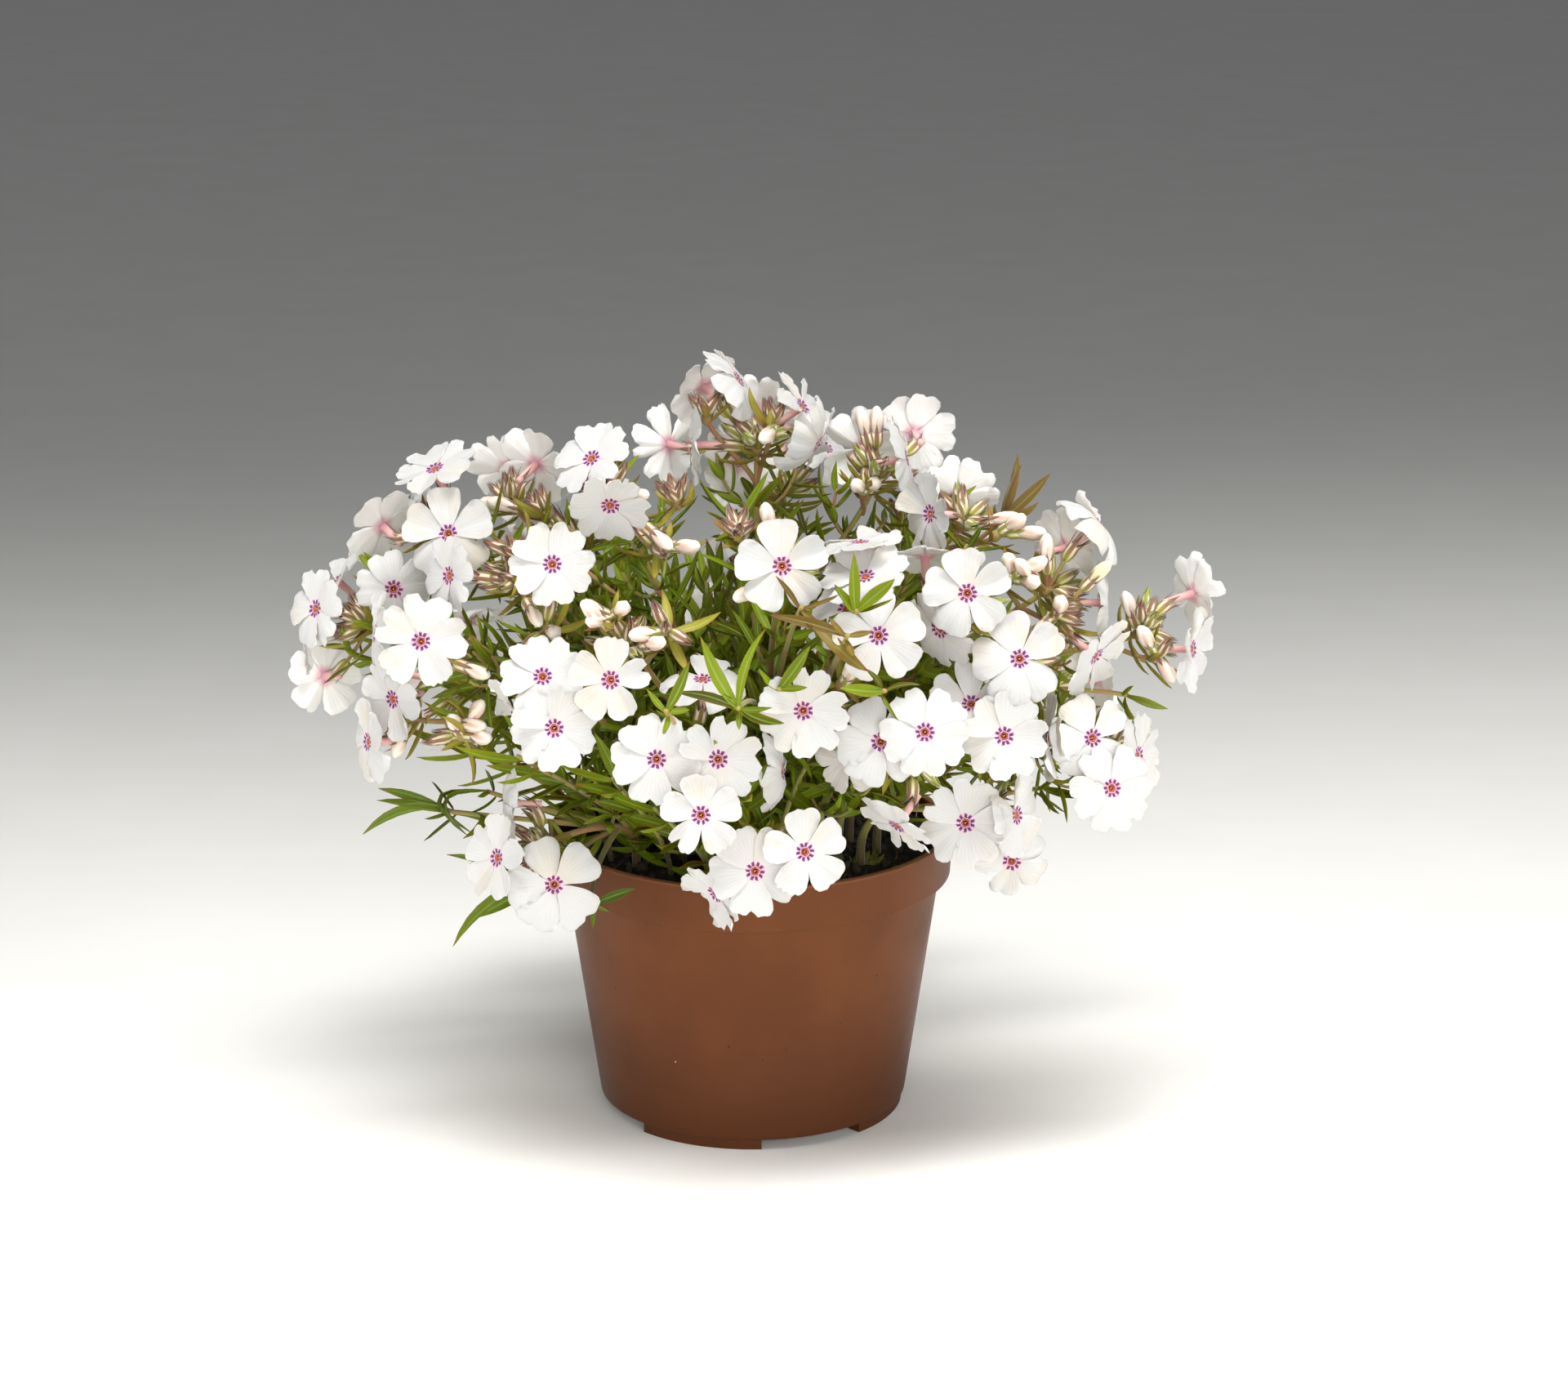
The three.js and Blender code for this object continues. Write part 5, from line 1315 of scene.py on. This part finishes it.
def cuticle(add, along, across, variant, look, roughness, browning):
    under, tone, off = add("level", variant, *belowSheet), add("FRACT", variant), add("ABSOLUTE", across)
    patches = add("noise", add("here"), 1000 / leafPattern["patchSize"], 3.0)
    fresh = add("ramp", add("ADD", tone, add("MULTIPLY", patches, leafPattern["ripple"])), 0.2, 1.0)
    worn = add("MULTIPLY", add("ramp", along, 0.8, 1.0), add("ramp", patches, 0.45, 0.62))
    edges = add("MULTIPLY", add("ramp", off, 0.55, 1.0), browning)
    layers = ((fresh, look["fresh"]), (add("ramp", tone, 0.16, 0.02), look["old"]),
              (add("MULTIPLY", under, 0.6), look["below"]),
              (add("MULTIPLY", add("ramp", off, 0.22, 0.03), 0.55), look["midrib"]),
              (add("MAXIMUM", worn, edges), look["brown"]))
    ribs = add("SINE", add("MULTIPLY", across, leafPattern["ribs"]))
    return look["deep"], layers, {
        "IOR": 1.4, "Specular IOR Level": 0.3, "Subsurface Weight": 0.25, "Subsurface Scale": 0.0008,
        "Roughness": add("level", patches, 0.3, 0.7, roughness - 0.08, roughness + 0.12),
        "Normal": add("bump", ribs, 0.2, 0.0001)}


# Stem: young bark with fine down, green where it is fresh and red-brown where it has ripened, and dark near
# the soil, partly woody bark and partly painted shade under the plant.
barkLook = {"ripe": "#b07e52", "fresh": "#9a9946", "shade": "#856046"}
stalkLook = {"ripe": "#9a6648", "fresh": "#9c8c48", "shade": "#7d5240"}
woodyAndShadedFoot = {"colour": "#3b2a1a", "below": 76, "from": 86}
barkPattern = {"patchSize": 4.5455, "lines": 62.8}


def bark(add, along, turn, variant, look):
    patches = add("noise", add("here"), 1000 / barkPattern["patchSize"], 3.0)
    share = add("ramp", add("ADD", patches, add("MULTIPLY", variant, 0.35)), 0.4, 0.8)
    lines = add("SINE", add("MULTIPLY", turn, barkPattern["lines"]))
    height = (add("split", add("here"))[0], 2)
    # dark near the soil: partly woody bark, partly painted shade under the plant
    old = add("ramp", height, woodyAndShadedFoot["from"] * mm, woodyAndShadedFoot["below"] * mm)
    layers = ((share, look["fresh"]), (add("MULTIPLY", add("ramp", lines, 0.2, 1.0), 0.35), look["shade"]),
              (add("MULTIPLY", old, 0.85), woodyAndShadedFoot["colour"]))
    return look["ripe"], layers, {"Roughness": 0.6, "IOR": 1.45, "Sheen Weight": 0.35, "Sheen Roughness": 0.4,
                                  "Normal": add("bump", patches, 0.3, 0.0002)}


# Polypropylene from a satin mould: warm brown, evenly soft gloss, with specks of dust and peat; darker
# towards the foot, which is painted shade.
# foot is the colour of the painted shade low on the pot
potLook = {"body": "#613310", "deep": "#582d0c", "foot": "#44210a", "worn": "#a27052", "peat": "#2a1c14",
           "dust": "#b08a6c", "mottle": 28.0, "speckSpacing": 4.7619, "crumbSize": 2.381, "peelSize": 1.1111,
           "roughness": 0.42, "wornFrom": 74.5, "wornTo": 75.4,
           "grimeBands": ((60.5, 63.0, 64.6), (-2.0, 1.2, 4.6), (73.2, 75.6, 78.0))}


def mouldedPlastic(add, *_):
    look = potLook
    height = (add("split", add("here"))[0], 2)
    broad = add("noise", add("here"), 1000 / look["mottle"], 3.0)
    specks = add("specks", add("here"), 1000 / look["speckSpacing"], 1.0)
    hue = add("splitColour", (specks[0], "Color"))[0]
    speck = add("MULTIPLY", add("LESS_THAN", specks, add("MULTIPLY", (hue, 0), 0.085)),
                add("GREATER_THAN", (hue, 1), 0.72))
    crumbs = add("noise", add("here"), 1000 / look["crumbSize"], 4.0, 0.7)
    bands = [add("MULTIPLY", *(add("ramp", height, end * mm, middle * mm) for end in (low, high)))
             for low, middle, high in look["grimeBands"]]
    band = add("MAXIMUM", add("MAXIMUM", bands[0], bands[1]), bands[2])
    grime = add("MULTIPLY", band, add("ramp", crumbs, 0.6, 0.7))
    layers = ((add("ramp", broad, 0.35, 0.65), look["deep"]),
              # painted shade: the colour darkens towards the foot from 52 mm down
              (add("MULTIPLY", add("ramp", height, 52 * mm, -6 * mm), 0.8), look["foot"]),
              (speck, add("mix", add("GREATER_THAN", (hue, 2), 0.55), look["peat"], look["dust"])),
              (add("MULTIPLY", grime, 0.75), look["peat"]),
              (add("MULTIPLY", add("ramp", height, look["wornFrom"] * mm, look["wornTo"] * mm), 0.45),
               look["worn"]))
    rough = add("level", broad, 0.3, 0.7, look["roughness"] - 0.05, look["roughness"] + 0.08)
    dull = add("ADD", rough, add("MULTIPLY", add("MAXIMUM", grime, speck), 0.35))
    peel = add("noise", add("here"), 1000 / look["peelSize"], 2.0)
    return look["body"], layers, {"IOR": 1.49, "Specular IOR Level": 0.2, "Roughness": dull,
                                  "Normal": add("bump", peel, 0.08, 0.0001)}


# Everything is made

print("materials")
petalSkins = {"petal": newMaterial("waxyPetalTissue", petalTissue),
              "tube": newMaterial("pinkCorollaTube", tubeTissue),
              "anther": newMaterial("ripePollenAnther", speckled, "#e2913a", "#c4602a", 0.5, 0.4, 0.7),
              "calyx": newMaterial("hairyCalyxTissue", calyxTissue),
              "bud": newMaterial("furledPetalBud", budTissue),
              "stalk": newMaterial("downyFlowerStalk", bark, stalkLook),
              "bract": newMaterial("hairyBractLeaf", cuticle, bractLook, 0.5, 0.55)}
greenSkins = {"stem": newMaterial("youngStemBark", bark, barkLook),
              "leaf": newMaterial("smoothLeafCuticle", cuticle, leafLook, 0.42, 0.12),
              # painted shade: the low shoots' leaves wear a darker copy of the leaf skin
              "shaded": newMaterial("paintedShadeLeafCuticle", cuticle, paintedShadeLook, 0.38, 0.1),
              "bronze": newMaterial("sunBronzedLeafCuticle", cuticle, bronzeLook, 0.45, 0.5)}
peatSkins = {"peat": newMaterial("dampSiftedPeat", speckled, "#2a231b", "#0d0c09", 1.6, 0.9, 0.92),
             "crumb": newMaterial("compostedBarkCrumb", speckled, "#3a2c20", "#12100c", 0.9, 0.8, 0.88),
             "fibre": newMaterial("driedRootFibre", speckled, "#6b543a", "#352819", 0.8, 0.4, 0.8),
             "moss": newMaterial("livingMossTip", speckled, "#7d7a26", "#3c4413", 1.5, 0.3, 0.7),
             "pellet": newMaterial("resinCoatedFeedPellet", speckled, "#46512c", "#333d1f", 1.2, 0.15, 0.35)}


def buildPiece(name, build, details, skins, nodes=()):
    numbers = {skin: i for i, skin in enumerate(skins)}
    makePiece(name, build(*details, numbers), skins.values(), nodes)


buildPot(newMaterial("mouldedPolypropylene", mouldedPlastic))
print("pot")
buildPiece("pottingPeat", buildPeat, (), peatSkins, ("soil",))
print("peat")
for name, head in heads.items():
    buildPiece("flowers_" + name, buildHead, (head,), petalSkins, ("head_" + name,))
print("flower heads")
for index, names in enumerate(stemHeads):
    name = names[0]
    buildPiece("leafyStem_" + name, buildStem, (index, names), greenSkins, ("stem_" + name,))
print("stems")
for part in range(3):
    buildPiece("undergrowth_" + "abc"[part], buildUndergrowth, (part, 3), greenSkins)
print("undergrowth")

# Floor, light and picture

studio = {"floor": ("#f9f7f2", "#f6f4ee", 40, 0.0, 0.8), "floorSize": 30, "air": "#dfe3e6",
          "airStrength": 0.175}
lamps = {  # where it hangs, what it looks at, its size, watts and spread
    "overhead": ((20, -340, 1300), (10, -290, 0), (1700, 380), 7.3, 75),
    "front": ((300, -1500, 420), (0, 0, 110), (2000, 740), 4.0, 60),
    "left": ((-1300, -420, 360), (0, 0, 120), (1100, 800), 1.1, 60),
    "right": ((1300, -420, 360), (0, 0, 120), (1100, 800), 1.0, 60),
}


def buildStudio():
    shell = bmesh.new()
    bmesh.ops.create_grid(shell, x_segments=1, y_segments=1, size=studio["floorSize"] / 2)
    floor = newObject("paleFloor", finishedMesh("paleFloor", shell))
    floor.data.materials.append(newMaterial("mattPaintedBoard", speckled, *studio["floor"]))
    world = bpy.data.worlds.new("studioAir")
    world.use_nodes = True
    plug(world.node_tree.nodes["Background"], {"Color": studio["air"], "Strength": studio["airStrength"]})
    bpy.context.scene.world = world
    for name, (spot, target, size, watts, spread) in lamps.items():
        light = bpy.data.lights.new(name, "AREA")
        light.shape = "RECTANGLE"
        light.size, light.size_y = (length * mm for length in size)
        light.energy = watts
        light.spread = math.radians(spread)
        lamp = newObject(name, light)
        lamp.location = Vector(spot) * mm
        lamp.rotation_euler = (Vector(target) - Vector(spot)).to_track_quat("-Z", "Y").to_euler()
        lamp.visible_camera = False
    bpy.context.scene.view_settings.view_transform = "Standard"


buildStudio()
print("studio")
